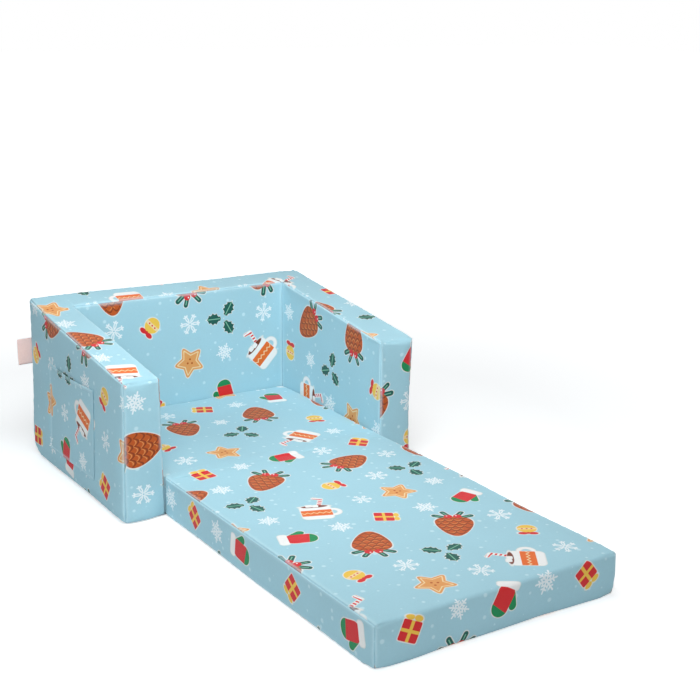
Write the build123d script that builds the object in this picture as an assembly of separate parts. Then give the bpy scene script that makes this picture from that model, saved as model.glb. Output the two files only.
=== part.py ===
from build123d import *

import math
import os

# A children's foam sofa that flips open into a lounger, modelled open and in millimetres.
# X runs from the left arm to the right arm, Y from the foot end to the back, Z upwards.
# The origin is on the floor, under the middle of the frame that the arms and back make.

# Frame of arms and back
overall_width = 610.0
frame_depth = 444.0
arm_width = 73.0
back_thickness = 64.0
arm_front_height = 257.0
arm_rear_height = 313.0
arm_top_radius = 9.0
arm_foot_radius = 7.0
arm_heel_radius = 18.0

# Three foam sections: the seat base, the flip seat and the back section
section_thickness = 72.5
section_length = 337.0
section_corner_radius = 8.0
arm_clearance = 1.2
back_clearance = 0.5
back_lean = 10.0

# Folds between the sections
front_fold_gap = 1.0
mitre_gap = 0.6
fold_axis_rise = 0.15
hinge_strip_width = 36.0
hinge_strip_thickness = 0.9
hinge_strip_inset = 7.0
hinge_strip_clearance = 0.2

# Stuffed form of every cover
edge_round = 5.0
inner_edge_round = 2.0
edge_step_share = 0.3
crown_step_share = 0.6
frame_crown = 2.5
section_crown = 2.0
crown_reach = 36.0
draw_in = 1.0

# Cover cloth and the foam in it
cover_wall = 2.0
foam_clearance = 0.2
base_cloth_thickness = 1.0
base_cloth_margin = 10.0

# Patch pocket on the outside of each arm
pocket_width = 215.0
pocket_height = 171.0
pocket_front_inset = 124.0
pocket_floor_gap = 42.0
pocket_bulge = 7.6
pocket_cloth = 1.2
pocket_slope_width = 13.0
pocket_swell_width = 36.0
pocket_mouth_sag = 3.0
binding_height = 6.0
binding_proud = 0.5

# Zip low on the rear of the back
zip_end_margin = 49.0
zip_height_above_floor = 54.0
zip_tape_height = 26.0
zip_tape_thickness = 0.8
zip_tooth_pitch = 2.8
zip_chain_width = 5.6
zip_chain_neck_width = 4.2
zip_chain_thickness = 1.6
zip_stop_length = 4.0

# Slider of the zip and its pull
slider_length = 12.0
slider_nose_width = 7.6
slider_tail_width = 10.6
slider_plate = 1.2
slider_play = 0.15
slider_flange = 0.9
bridge_length = 6.0
bridge_height = 3.2
bridge_width = 2.2
bridge_wall = 1.1
pull_length = 27.0
pull_width = 8.0
pull_thickness = 1.3
pull_eye_width = 3.2
pull_eye_length = 5.0
pull_play = 0.3

# Loop tag in the rear seam of the left arm
tag_reach = 30.0
tag_height = 52.0
tag_thickness = 1.0
tag_top_drop = 75.0

overrun = 5.0

# Places worked out from the sizes
front_y = -frame_depth / 2
rear_y = frame_depth / 2
back_front_y = rear_y - back_thickness
inner_half_width = overall_width / 2 - arm_width
zip_length = 2 * (inner_half_width - zip_end_margin)
section_half_width = inner_half_width - arm_clearance
section_top = section_thickness + section_crown
far_end_y = front_y - 2 * section_length
seat_base_rear_y = back_front_y - back_clearance
front_fold_y = front_y
rear_fold_y = front_y - section_length
fold_axis_z = section_top + fold_axis_rise
fold_angle = 90.0 - back_lean
mitre_angle = math.radians(fold_angle / 2)
arm_slope = (arm_rear_height - arm_front_height) / frame_depth
above_everything = arm_rear_height + overrun
below_floor = -overrun


def arm_height_at(y):
    """Height of the sloping arm top at a depth."""
    return arm_front_height + arm_slope * (y - front_y)


def inset_corners(corners, insets):
    """Corners of a convex outline, given anticlockwise, after each side has moved inwards."""
    count = len(corners)
    moved = []
    for index in range(count):
        lines = []
        for side in (index - 1, index):
            u1, v1 = corners[side % count]
            u2, v2 = corners[(side + 1) % count]
            length = math.hypot(u2 - u1, v2 - v1)
            normal = (-(v2 - v1) / length, (u2 - u1) / length)
            reach = normal[0] * u1 + normal[1] * v1 + insets[side % count]
            lines.append((normal, reach))
        (n1, r1), (n2, r2) = lines
        spread = n1[0] * n2[1] - n1[1] * n2[0]
        u = (r1 * n2[1] - r2 * n1[1]) / spread
        v = (n1[0] * r2 - n2[0] * r1) / spread
        moved.append((u, v))
    return moved


def ring(corners, insets, radii, place):
    """Closed outline with rounded corners, put in space by place."""
    points = [place(u, v) for u, v in inset_corners(corners, insets)]
    return FilletPolyline(*points, radius=radii, close=True).wire()


def pillow(corners, radii, thickness, crown, low_round, place, wall):
    """Stuffed block on an outline: flat low face, crowned high face, sides drawn in between.

    The wall is how far the whole form is shrunk, so that foam fits in its cover."""
    low_step = low_round * edge_step_share
    high_step = edge_round * edge_step_share
    stations = [
        (wall, low_round + wall),
        (low_step + wall, low_step + wall),
        (low_round + wall, wall),
        (thickness / 2, draw_in + wall),
        (thickness - edge_round - wall, wall),
        (thickness - high_step - wall, high_step + wall),
        (thickness - wall, edge_round + wall),
        (thickness + crown * crown_step_share - wall, crown_reach / 2 + wall),
        (thickness + crown - wall, crown_reach + wall),
    ]
    rings = []
    for rise, inset in stations:
        insets = [inset] * len(corners)
        rings.append(ring(corners, insets, radii, lambda u, v, h=rise: place(u, v, h)))
    return Solid.make_loft(rings, ruled=True)


def arm_corners():
    """Side outline of an arm, as depth and height."""
    return [
        (front_y, base_cloth_thickness),
        (rear_y, base_cloth_thickness),
        (rear_y, arm_rear_height),
        (front_y, arm_front_height),
    ]


arm_radii = [arm_foot_radius, arm_heel_radius, arm_top_radius, arm_top_radius]


def arm_block(side, wall):
    """Arm lying on its side outline, with its crown outwards; side is -1 for the left."""

    def place(depth, height, rise):
        return (side * (inner_half_width + rise), depth, height)

    thickness = arm_width - frame_crown
    return pillow(arm_corners(), arm_radii, thickness, frame_crown, inner_edge_round, place, wall)


def back_block(wall):
    """Back between the arms: plain at its ends and swelling rearwards and upwards between them."""
    corners = [
        (back_front_y, base_cloth_thickness),
        (rear_y, base_cloth_thickness),
        (rear_y, arm_rear_height),
        (back_front_y, arm_height_at(back_front_y)),
    ]
    radii = [arm_foot_radius, arm_heel_radius, arm_top_radius, inner_edge_round]
    half = inner_half_width - wall
    swell_half = inner_half_width - crown_reach
    rings = []
    for x, swell in ((-half, 0), (-swell_half, 1), (swell_half, 1), (half, 0)):
        insets = [wall, wall - swell * frame_crown, wall - swell * draw_in, wall]
        rings.append(ring(corners, insets, radii, lambda u, v, x=x: (x, u, v)))
    return Solid.make_loft(rings, ruled=True)


def mattress(wall):
    """All three sections as one long crowned slab, before the folds part them."""
    corners = [
        (-section_half_width, far_end_y),
        (section_half_width, far_end_y),
        (section_half_width, seat_base_rear_y),
        (-section_half_width, seat_base_rear_y),
    ]
    radii = [section_corner_radius] * len(corners)
    return pillow(corners, radii, section_thickness, section_crown, edge_round, Vector, wall)


def side_prism(points, half_width):
    """Prism across the sofa with a side outline of depth and height points."""
    wire = Polyline(*[(-half_width, y, z) for y, z in points], close=True).wire()
    return Solid.extrude(Face(wire), Vector(2 * half_width, 0, 0))


def mitre_y(z, distance, side):
    """Depth, at a height, of the mitre face that lies a distance from the rear fold's axis.

    side is 1 for the flip seat's face and -1 for the back section's."""
    run = distance / math.cos(mitre_angle) + (fold_axis_z - z) * math.tan(mitre_angle)
    return rear_fold_y + side * run


def seat_base_space(wall):
    """Side outline that parts the seat base from the rest of the mattress."""
    near = front_fold_y + front_fold_gap / 2 + wall
    far = seat_base_rear_y + overrun
    low = base_cloth_thickness + wall
    return [(near, low), (far, low), (far, above_everything), (near, above_everything)]


def flip_seat_space(wall):
    """Side outline of the flip seat: upright at the front fold, mitred at the rear fold."""
    near = front_fold_y - front_fold_gap / 2 - wall
    distance = mitre_gap / 2 + wall
    return [
        (near, below_floor),
        (near, above_everything),
        (mitre_y(above_everything, distance, 1), above_everything),
        (mitre_y(below_floor, distance, 1), below_floor),
    ]


def back_section_space(wall):
    """Side outline of the back section, mitred at the rear fold."""
    distance = mitre_gap / 2 + wall
    far = far_end_y - overrun
    return [
        (mitre_y(below_floor, distance, -1), below_floor),
        (mitre_y(above_everything, distance, -1), above_everything),
        (far, above_everything),
        (far, below_floor),
    ]


def hinge_strip(slab, fold_y, clearance):
    """Skin of the slab's top over a fold, or with a clearance, the recess that it lies in."""
    half_width = section_half_width - hinge_strip_inset + clearance
    half_strip = hinge_strip_width / 2 + clearance
    band = side_prism(
        [
            (fold_y - half_strip, section_thickness / 2),
            (fold_y + half_strip, section_thickness / 2),
            (fold_y + half_strip, above_everything),
            (fold_y - half_strip, above_everything),
        ],
        half_width,
    )
    below = slab.moved(Location((0, 0, -hinge_strip_thickness - clearance)))
    return (slab & band) - below


def section_pair(space, recesses):
    """Cover and foam of one mattress section."""
    outer = mattress(0) & side_prism(space(0), overall_width)
    inner = mattress(cover_wall) & side_prism(space(cover_wall), overall_width)
    foam_wall = cover_wall + foam_clearance
    foam = mattress(foam_wall) & side_prism(space(foam_wall), overall_width)
    cover = outer - inner
    for recess in recesses:
        cover -= recess
    return cover, foam


def fold_wedge(recess):
    """Soft foam of the rear fold, which squeezes flat as the back section stands up."""
    wedge = side_prism(
        [
            (rear_fold_y, fold_axis_z),
            (mitre_y(below_floor, 0, -1), below_floor),
            (mitre_y(below_floor, 0, 1), below_floor),
        ],
        overall_width,
    )
    return (mattress(0) & wedge) - recess


pocket_front_y = front_y + pocket_front_inset
pocket_rear_y = pocket_front_y + pocket_width
pocket_top_z = pocket_floor_gap + pocket_height
pocket_middle_y = (pocket_front_y + pocket_rear_y) / 2


def pocket_form(side, shift, open_top):
    """Bulged body over the pocket's outline, moved outwards by shift."""
    corners = [
        (pocket_front_y, pocket_floor_gap),
        (pocket_rear_y, pocket_floor_gap),
        (pocket_rear_y, pocket_top_z + open_top),
        (pocket_front_y, pocket_top_z + open_top),
    ]
    radii = [section_corner_radius, section_corner_radius, edge_round, edge_round]
    rings = []
    for rise, inset in (
        (-2 * pocket_cloth, 0),
        (shift, 0),
        (shift + pocket_bulge * crown_step_share, pocket_slope_width),
        (shift + pocket_bulge, pocket_swell_width),
    ):
        insets = [inset, inset, 0, inset]
        x = overall_width / 2 + rise
        rings.append(ring(corners, insets, radii, lambda u, v, x=x: (side * x, u, v)))
    return Solid.make_loft(rings, ruled=True)


def mouth_band(top_z, bottom_z):
    """Slab across one arm between two arcs that sag like the pocket's mouth."""
    ends = (pocket_front_y - overrun, pocket_rear_y + overrun)

    def arc(z, first, last):
        return ThreePointArc((0, first, z), (0, pocket_middle_y, z - pocket_mouth_sag), (0, last, z))

    edges = [
        arc(bottom_z, *ends),
        Line((0, ends[1], bottom_z), (0, ends[1], top_z)),
        arc(top_z, ends[1], ends[0]),
        Line((0, ends[0], top_z), (0, ends[0], bottom_z)),
    ]
    reach = overall_width
    slab = Solid.extrude(Face(Wire(edges)), Vector(2 * reach, 0, 0))
    return slab.moved(Location((-reach, 0, 0)))


def pocket_pair(side):
    """Pocket panel and the binding along its mouth."""
    hollow = pocket_form(side, -pocket_cloth, overrun + pocket_mouth_sag)
    above = mouth_band(pocket_top_z + pocket_height, pocket_top_z)
    band = mouth_band(pocket_top_z, pocket_top_z - binding_height)
    panel = pocket_form(side, 0, 0) - hollow - above - band
    binding = (pocket_form(side, binding_proud, 0) - hollow - above) & band
    arm = side_prism(
        [
            (front_y, 0),
            (rear_y, 0),
            (rear_y, above_everything),
            (front_y, above_everything),
        ],
        overall_width / 2,
    )
    return panel - arm, binding - arm


zip_middle_z = base_cloth_thickness + zip_height_above_floor
cover_rear_y = rear_y + frame_crown
tape_y = cover_rear_y - cover_wall
chain_y = tape_y + zip_tape_thickness
chain_top_y = chain_y + zip_chain_thickness
slider_low_y = chain_y + slider_play
slider_plate_y = chain_top_y + slider_play
slider_top_y = slider_plate_y + slider_plate
chain_length = zip_length - 2 * zip_stop_length
slider_rest_x = chain_length / 2 - slider_length / 2
slider_travel = chain_length - slider_length


def rear_box(x1, x2, y1, y2, height):
    """Box on the rear face, centred on the zip's line."""
    return Location(((x1 + x2) / 2, (y1 + y2) / 2, zip_middle_z)) * Box(x2 - x1, y2 - y1, height)


def rear_prism(points, y1, y2):
    """Outline of across and up points on the zip's line, run from one depth to another."""
    wire = Polyline(*[(x, y1, zip_middle_z + z) for x, z in points], close=True).wire()
    return Solid.extrude(Face(wire), Vector(0, y2 - y1, 0))


def zip_tape():
    """Woven tape that fills the slot in the back's cover."""
    return rear_box(-zip_length / 2, zip_length / 2, tape_y, chain_y, zip_tape_height)


def zip_chain():
    """Interlocked teeth as one strip whose edges step in and out at every tooth."""
    count = int(chain_length / zip_tooth_pitch)
    half = chain_length / 2
    step = chain_length / count
    upper = []
    for index in range(count):
        start = -half + index * step
        upper += [
            (start, zip_chain_neck_width / 2),
            (start + step / 4, zip_chain_width / 2),
            (start + step * 3 / 4, zip_chain_width / 2),
        ]
    upper.append((half, zip_chain_neck_width / 2))
    lower = [(-x, -z) for x, z in upper]
    return rear_prism(upper + lower, chain_y, chain_top_y)


def zip_stops():
    """Metal stop at each end of the teeth."""
    stops = []
    for side in (-1, 1):
        inner, outer = sorted((side * chain_length / 2, side * zip_length / 2))
        stops.append(rear_box(inner, outer, chain_y, slider_plate_y, zip_chain_width))
    return Compound(children=stops)


def zip_slider():
    """Slider: a tapered plate over the teeth, a flange down each side and a bridge on top."""
    nose = slider_rest_x + slider_length / 2
    tail = slider_rest_x - slider_length / 2
    outline = [
        (tail, -slider_tail_width / 2),
        (nose, -slider_nose_width / 2 - slider_flange / 2),
        (nose, slider_nose_width / 2 + slider_flange / 2),
        (tail, slider_tail_width / 2),
    ]
    body = rear_prism(outline, slider_low_y, slider_top_y)
    channel_width = zip_chain_width + 2 * slider_play
    low = slider_low_y - overrun
    body -= rear_box(tail - overrun, nose + overrun, low, slider_plate_y, channel_width)
    bridge_left = slider_rest_x - bridge_length / 2
    bridge_right = slider_rest_x + bridge_length / 2
    bridge_top = slider_top_y + bridge_height
    bridge = rear_box(bridge_left, bridge_right, slider_top_y, bridge_top, bridge_width)
    eye_left = bridge_left + bridge_wall
    eye_right = bridge_right - bridge_wall
    eye_top = bridge_top - bridge_wall
    bridge -= rear_box(eye_left, eye_right, slider_top_y, eye_top, bridge_width + overrun)
    return body + bridge


pull_axis_x = slider_rest_x
pull_axis_y = slider_top_y + (bridge_height - bridge_wall) / 2


def zip_pull():
    """Pull tab that lies along the zip, with the slider's bridge through its eye."""
    bar = (bridge_length / 2 - bridge_wall) / 2
    root = pull_axis_x + bar / 2
    near = root - pull_length
    half_thick = pull_thickness / 2
    outline = [
        (near, -pull_width / 2),
        (root, -pull_width / 2 + pull_play),
        (root, pull_width / 2 - pull_play),
        (near, pull_width / 2),
    ]
    tab = rear_prism(outline, pull_axis_y - half_thick, pull_axis_y + half_thick)
    eye_right = root - bar
    eye_left = eye_right - pull_eye_length
    tab -= rear_box(
        eye_left,
        eye_right,
        pull_axis_y - pull_thickness,
        pull_axis_y + pull_thickness,
        pull_eye_width,
    )
    return tab


def side_tag(arm_cover):
    """Bare cloth loop sewn into the seam between the left arm's outer and rear faces."""
    seam_y = rear_y - edge_round / 2
    seam_x = -overall_width / 2 + frame_crown + edge_round / 2
    top_z = arm_rear_height - tag_top_drop
    tag = Box(
        tag_reach + edge_round / 2,
        tag_thickness,
        tag_height,
        align=(Align.MAX, Align.CENTER, Align.MAX),
    )
    return Location((seam_x, seam_y, top_z)) * tag - arm_cover


def base_cloth():
    """Non-slip cloth under the arms, the back and the seat base."""
    near = front_fold_y + front_fold_gap / 2
    far = rear_y - base_cloth_margin - arm_heel_radius / 2
    half = overall_width / 2 - base_cloth_margin
    corners = [(-half, near), (half, near), (half, far), (-half, far)]
    outline = FilletPolyline(*corners, radius=arm_foot_radius, close=True).wire()
    return Solid.extrude(Face(outline), Vector(0, 0, base_cloth_thickness))


def build_parts():
    """Every node of the sofa by name."""
    parts = {}
    foam_wall = cover_wall + foam_clearance
    for name, side in (("left", -1), ("right", 1)):
        parts[f"{name}_arm_cover"] = arm_block(side, 0) - arm_block(side, cover_wall)
        parts[f"{name}_arm_foam"] = arm_block(side, foam_wall)
        panel, binding = pocket_pair(side)
        parts[f"{name}_pocket"] = panel
        parts[f"{name}_pocket_binding"] = binding

    slot = rear_box(
        -zip_length / 2,
        zip_length / 2,
        tape_y,
        cover_rear_y + overrun,
        zip_tape_height,
    )
    parts["back_cover"] = back_block(0) - back_block(cover_wall) - slot
    parts["back_foam"] = back_block(foam_wall)

    slab = mattress(0)
    front_recess = hinge_strip(slab, front_fold_y, hinge_strip_clearance)
    rear_recess = hinge_strip(slab, rear_fold_y, hinge_strip_clearance)
    sections = {
        "seat_base": section_pair(seat_base_space, [front_recess]),
        "flip_seat": section_pair(flip_seat_space, [front_recess, rear_recess]),
        "back_section": section_pair(back_section_space, [rear_recess]),
    }
    for name, (cover, foam) in sections.items():
        parts[f"{name}_cover"] = cover
        parts[f"{name}_foam"] = foam
    parts["fold_wedge"] = fold_wedge(rear_recess)
    parts["front_hinge_strip"] = hinge_strip(slab, front_fold_y, 0)
    parts["rear_hinge_strip"] = hinge_strip(slab, rear_fold_y, 0)

    parts["rear_zip_tape"] = zip_tape()
    parts["rear_zip_teeth"] = zip_chain()
    parts["rear_zip_stops"] = zip_stops()
    parts["rear_zip_slider"] = zip_slider()
    parts["rear_zip_pull"] = zip_pull()
    parts["side_tag"] = side_tag(parts["left_arm_cover"])
    parts["base_cloth"] = base_cloth()
    return parts


def main():
    """Write one file for each node, and print the places that the joints and mounts need."""
    os.makedirs("parts", exist_ok=True)
    for name, shape in build_parts().items():
        export_step(shape, f"parts/{name}.step")
    print("front fold axis", front_fold_y, fold_axis_z)
    print("rear fold axis", rear_fold_y, fold_axis_z, "turn", fold_angle)
    print("zip travel", slider_travel, "slider", slider_rest_x, "pull axis", pull_axis_x, pull_axis_y)
    print("pocket", pocket_front_y, pocket_rear_y, pocket_floor_gap, pocket_top_z)


main()
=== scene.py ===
"""Looks of the kids flip open sofa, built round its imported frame.

Sizes are in millimetres in the classes below and turn into metres where a mesh is made.
+X is the right arm, +Y the back and +Z up, as in the frame.
"""

import logging
import math
from dataclasses import dataclass
from enum import Enum
from functools import partialmethod
from typing import Callable, Sequence, Union

import bpy
import numpy as np
from mathutils import Matrix, Vector
from mathutils.bvhtree import BVHTree


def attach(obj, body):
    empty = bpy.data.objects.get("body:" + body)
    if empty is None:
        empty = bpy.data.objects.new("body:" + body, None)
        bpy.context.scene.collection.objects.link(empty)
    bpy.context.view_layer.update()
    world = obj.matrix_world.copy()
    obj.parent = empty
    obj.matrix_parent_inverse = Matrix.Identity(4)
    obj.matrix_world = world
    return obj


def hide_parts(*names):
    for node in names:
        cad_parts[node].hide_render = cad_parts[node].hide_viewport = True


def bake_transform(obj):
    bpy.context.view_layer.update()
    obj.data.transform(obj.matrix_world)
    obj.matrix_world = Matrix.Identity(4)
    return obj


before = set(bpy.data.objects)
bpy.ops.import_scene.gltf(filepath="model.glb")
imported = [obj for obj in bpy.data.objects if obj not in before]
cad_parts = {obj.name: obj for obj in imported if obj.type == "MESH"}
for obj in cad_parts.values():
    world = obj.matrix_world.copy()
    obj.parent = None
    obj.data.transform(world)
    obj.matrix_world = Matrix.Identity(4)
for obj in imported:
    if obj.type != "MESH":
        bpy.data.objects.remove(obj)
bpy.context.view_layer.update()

log = logging.getLogger("sofa")
logging.basicConfig(level=logging.INFO, format="%(name)s: %(message)s")

MM = 0.001
TINY = 1e-9
TURN = 2 * math.pi
WHITE = (1, 1, 1, 1)

Points = np.ndarray
Shape = Callable[[Points], Points]
Face = tuple[int, float, int]
Place = tuple[float, float, float]
Number = Union["Wire", float]
Socket = bpy.types.NodeSocket
Node = bpy.types.Node
Material = bpy.types.Material
Piece = bpy.types.Object


class Slot(Enum):
    """Material slots of the record."""

    CLOTH = "printed_cloth"
    BASE = "base_cloth"
    TAG = "tag_cloth"
    TAPE = "zip_tape"
    TEETH = "zip_teeth"


class Side(Enum):
    """Sides of the sofa, with the sign of their X."""

    LEFT = -1
    RIGHT = 1


# Shared sizes


@dataclass(frozen=True)
class FrameSizes:
    """Sizes of the U of arms and back, in mm."""

    outer_half: float = 302.5
    inner_half: float = 232.0
    front_y: float = -222.0
    back_front_y: float = 158.0
    rear_y: float = 222.0
    low_z: float = 1.0
    front_height: float = 257.0
    rear_height: float = 313.0
    crown: float = 2.5
    foot_out: tuple[float, float] = (10.0, 0.5)
    foot_fade: float = 1.5
    top_out: tuple[float, float] = (0.0, 10.0)

    def height_at(self, y: Points) -> Points:
        """Height of the sloping top at a depth."""
        share = (y - self.front_y) / (self.rear_y - self.front_y)
        return self.front_height + (self.rear_height - self.front_height) * share

    def lean(self, side: Points, y: Points, z: Points) -> Points:
        """How far the arms' outer faces stand out: at the foot, and at the front top.

        Args:
            side: Sign of X of each point.
            y: Depth of each point, in mm.
            z: Height of each point.

        Returns:
            Distance out, in mm.
        """
        share = np.clip(z / self.front_height, 0, 1)
        front = np.clip((self.back_front_y - y) / (self.back_front_y - self.front_y), 0, 1)
        foot, top = (np.where(side < 0, *pair) for pair in (self.foot_out, self.top_out))
        return foot * (1 - share) ** self.foot_fade + top * share**2 * front


@dataclass(frozen=True)
class MattressSizes:
    """Sizes of the three mattress sections, in mm."""

    half_width: float = 230.8
    side_limit: float = 231.4
    base_front_y: float = -221.5
    base_rear_y: float = 157.5
    base_low_z: float = 1.0
    fold_y: float = -222.0
    flip_rear_y: float = -222.5
    rear_fold_y: float = -559.0
    far_y: float = -896.0
    edge_z: float = 73.2
    crown: float = 1.4
    crown_reach: float = 26.0
    fold_z: float = 74.65
    fold_calm: float = 12.0
    squeeze: float = 62.0


FRAME = FrameSizes()
MATTRESS = MattressSizes()


# Cloth that is stretched over a block


def bell(distance: Points, reach: float) -> Points:
    """1 at no distance, and less and less towards and beyond a reach."""
    return np.exp(-((distance / reach) ** 2))


def both_ways(steps: Sequence[float]) -> Points:
    """Steps to both sides of zero, in order."""
    return np.array([-step for step in reversed(steps) if step] + list(steps))


@dataclass(frozen=True)
class Seam:
    """One sewn line between two panels, from end to end, in mm."""

    start: Place
    end: Place


@dataclass(frozen=True)
class RoundedEdge:
    """Edge where two faces of a block meet, with the radius that its foam gives it.

    A face is its axis, its place on that axis and the way that it looks, in mm. Towards
    the corners at its ends the edge grows rounder, each to a radius of its own.
    """

    first: Face
    second: Face
    radius: float
    ends: tuple[tuple[float, float], ...] = ()
    end_reach: float = 44.0

    def radii(self, points: Points) -> Points:
        """Radius of the edge beside each point.

        Args:
            points: Places in the block, one row each.

        Returns:
            Radii in mm.
        """
        axis = 3 - self.first[0] - self.second[0]
        radii = np.full(len(points), self.radius)
        for end, radius in self.ends:
            share = np.clip(1 - np.abs(points[:, axis] - end) / self.end_reach, 0, 1)
            share = share**2 * (3 - 2 * share)
            radii = np.maximum(radii, self.radius + (radius - self.radius) * share)
        return radii

    def press(self, points: Points) -> Points:
        """Moves points that stick out of the rounded edge onto it.

        Args:
            points: Places in the block, one row each.

        Returns:
            The places after the move.
        """
        faces = (self.first, self.second)
        moved = points.copy()
        radii = self.radii(points)
        depths = [radii - (value - points[:, axis]) * way for axis, value, way in faces]
        reach = np.hypot(*depths)
        out = (depths[0] > 0) & (depths[1] > 0) & (reach > radii)
        share = np.where(out, radii / np.maximum(reach, TINY), 1.0)
        for depth, (axis, value, way) in zip(depths, faces):
            moved[:, axis] = np.where(out, value - (radii - depth * share) * way, moved[:, axis])
        return moved


def pressed(points: Points, edges: Sequence[RoundedEdge]) -> Points:
    """Moves points onto rounded edges, one edge after the other.

    Args:
        points: Places in the block, one row each.
        edges: The edges.

    Returns:
        The places after the moves.
    """
    for edge in edges:
        points = edge.press(points)
    return points


def on_both_sides(points: Points, change: Callable[[Points, Points], Points]) -> Points:
    """Shapes both halves of a block at once.

    Args:
        points: Places in the block, one row each.
        change: Moves places whose X is counted from the middle, and is told the sign of their X.

    Returns:
        The places after the move.
    """
    away = np.sign(points[:, 0])
    moved = points.copy()
    moved[:, 0] = np.abs(moved[:, 0])
    moved = change(moved, away)
    moved[:, 0] *= away
    return moved


@dataclass(frozen=True)
class Flat:
    """How a panel's print lies: which way its across and its up run in space, and its shift in mm."""

    across: tuple[int, int]
    up: tuple[int, int]
    shift: tuple[float, float] = (0.0, 0.0)

    def lay(self, points: Points) -> Points:
        """Flat places of points of the panel."""
        ways = zip((self.across, self.up), self.shift)
        return np.stack([points[..., axis] * sign + shift for (axis, sign), shift in ways], -1)


ARM_SIDE_FLATS = {-1: Flat((1, -1), (2, 1), (520.0, 37.0)), 1: Flat((1, 1), (2, 1), (880.0, 61.0))}


@dataclass(frozen=True)
class ClothFeel:
    """How the cover lies on its foam: groove, lips and puckers of its seams, and its ripple, in mm."""

    groove_depth: float = 0.9
    groove_reach: float = 1.1
    lip_height: float = 0.7
    lip_place: float = 3.4
    lip_reach: float = 2.5
    pucker_height: float = 0.5
    pucker_reach: float = 13.0
    pucker_start: float = 1.5
    pucker_waves: tuple[tuple[float, float], ...] = ((10.7, 0.4), (16.9, 2.2), (27.3, 4.1))
    pull_height: float = 1.4
    pull_reach: float = 22.0
    pull_start: float = 9.0
    pull_spread: tuple[float, float] = (0.28, 0.8)
    pull_seed: int = 100
    calm_reach: float = 25.0
    ripple_height: float = 0.55
    ripple_lengths: tuple[float, float] = (70, 190)
    ripple_seed: int = 3
    sway_height: float = 0.7
    sway_lengths: tuple[float, float] = (160, 420)
    wave_count: int = 11

    def seam_profile(self, distance: Points) -> Points:
        """Height of the cloth beside a seam."""
        lip = self.lip_height * bell(distance - self.lip_place, self.lip_reach)
        return lip - self.groove_depth * bell(distance, self.groove_reach)

    def puckers(self, distance: Points, along: Points) -> Points:
        """Depth of the small gathers that the thread pulls in beside a seam.

        Args:
            distance: How far each point is from the seam, in mm.
            along: Where it is along the seam.

        Returns:
            Depths in mm.
        """
        waves = sum(np.sin(along * 2 * np.pi / length + turn) for length, turn in self.pucker_waves)
        fade = np.exp(-distance / self.pucker_reach) * (1 - np.exp(-distance / self.pucker_start))
        return self.pucker_height * fade * waves / len(self.pucker_waves)

    def waves(self, points: Points, lengths: tuple[float, float], seed: int) -> Points:
        """Sum of waves of chance directions and lengths, about one high.

        Args:
            points: Places, one row each.
            lengths: Shortest and longest wave, in mm.
            seed: Seed of the chance numbers.

        Returns:
            Height at each place.
        """
        rng = np.random.default_rng(seed)
        total = np.zeros(len(points))
        for _ in range(self.wave_count):
            direction = rng.normal(size=3)
            direction /= np.linalg.norm(direction)
            wave = rng.uniform(*lengths)
            total += np.sin(points @ direction * 2 * np.pi / wave + rng.uniform(0, 6.28))
        return total / math.sqrt(self.wave_count)

    def pulls(self, points: Points, corners: Sequence[Place]) -> Points:
        """Short folds that run out from the corners where seams meet.

        Args:
            points: Places in the block, one row each.
            corners: The corners.

        Returns:
            Height of the folds at each place, in mm.
        """
        total = np.zeros(len(points))
        for number, corner in enumerate(corners):
            away = points - np.array(corner)
            distance = np.linalg.norm(away, axis=1)
            direction = away / np.maximum(distance, 1e-6)[:, None]
            fade = np.exp(-distance / self.pull_reach) * (1 - bell(distance, self.pull_start))
            total += fade * self.waves(direction, self.pull_spread, self.pull_seed + number)
        return self.pull_height * total

    def height(self, block: Points, shaped: Points, seams: Sequence[Seam], corners: Sequence) -> Points:
        """Everything that the cloth adds to the foam's form.

        Args:
            block: Places in the block, one row each.
            shaped: The same points in space.
            seams: Sewn lines in the block.
            corners: Corners of the block where seams meet.

        Returns:
            Height at each place, in mm.
        """
        away, along = seam_places(block, seams)
        calm = 1 - bell(away, self.calm_reach)
        ripple = self.ripple_height * self.waves(shaped, self.ripple_lengths, self.ripple_seed) * calm
        sway = self.sway_height * self.waves(shaped, self.sway_lengths, self.ripple_seed + 1)
        beside_seams = self.seam_profile(away) + self.puckers(away, along)
        return beside_seams + self.pulls(block, corners) + ripple + sway


SEAM_STEPS = (0.0, 0.9, 1.9, 3.0, 4.4, 6.4, 9.5)
GRID_PITCH = 6.5
SEAM_STAGGER = 37.0
# Masks of the painted highlight on each seam's lip and of the painted shade in its groove: middle and reach,
# as distances from the seam in mm.
SEAM_MARKS = {"seam_lip": (3.0, 2.8), "seam_line": (0.0, 0.8)}


def grid_lines(low: float, high: float, fine_high: bool = True) -> Points:
    """Lines of a panel's grid, close together beside its seams.

    Args:
        low: First line, in mm.
        high: Last line, in mm.
        fine_high: Whether the high end is beside a seam or a rounded edge, as the low end is.

    Returns:
        The lines' places.
    """
    start = low + SEAM_STEPS[-1]
    stop = high - (SEAM_STEPS[-1] if fine_high else 0)
    count = max(2, round((stop - start) / GRID_PITCH) + 1)
    lines = [low + step for step in SEAM_STEPS[:-1]] + list(np.linspace(start, stop, count))
    if fine_high:
        lines += [high - step for step in reversed(SEAM_STEPS[:-1])]
    return np.array(lines)


def seam_places(points: Points, seams: Sequence[Seam]) -> tuple[Points, Points]:
    """How far points are from the nearest seam, and how far along it.

    Args:
        points: Places in the block, one row each.
        seams: The sewn lines.

    Returns:
        Distances and places along the seam, in mm.
    """
    best = np.full(len(points), 1e6)
    along = np.zeros(len(points))
    for number, seam in enumerate(seams):
        start = np.array(seam.start)
        run = np.array(seam.end) - start
        length = np.linalg.norm(run)
        share = np.clip((points - start) @ run / length**2, 0, 1)
        away = np.linalg.norm(points - (start + share[:, None] * run), axis=1)
        nearer = away < best
        best = np.where(nearer, away, best)
        along = np.where(nearer, share * length + SEAM_STAGGER * number, along)
    return best, along


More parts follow.
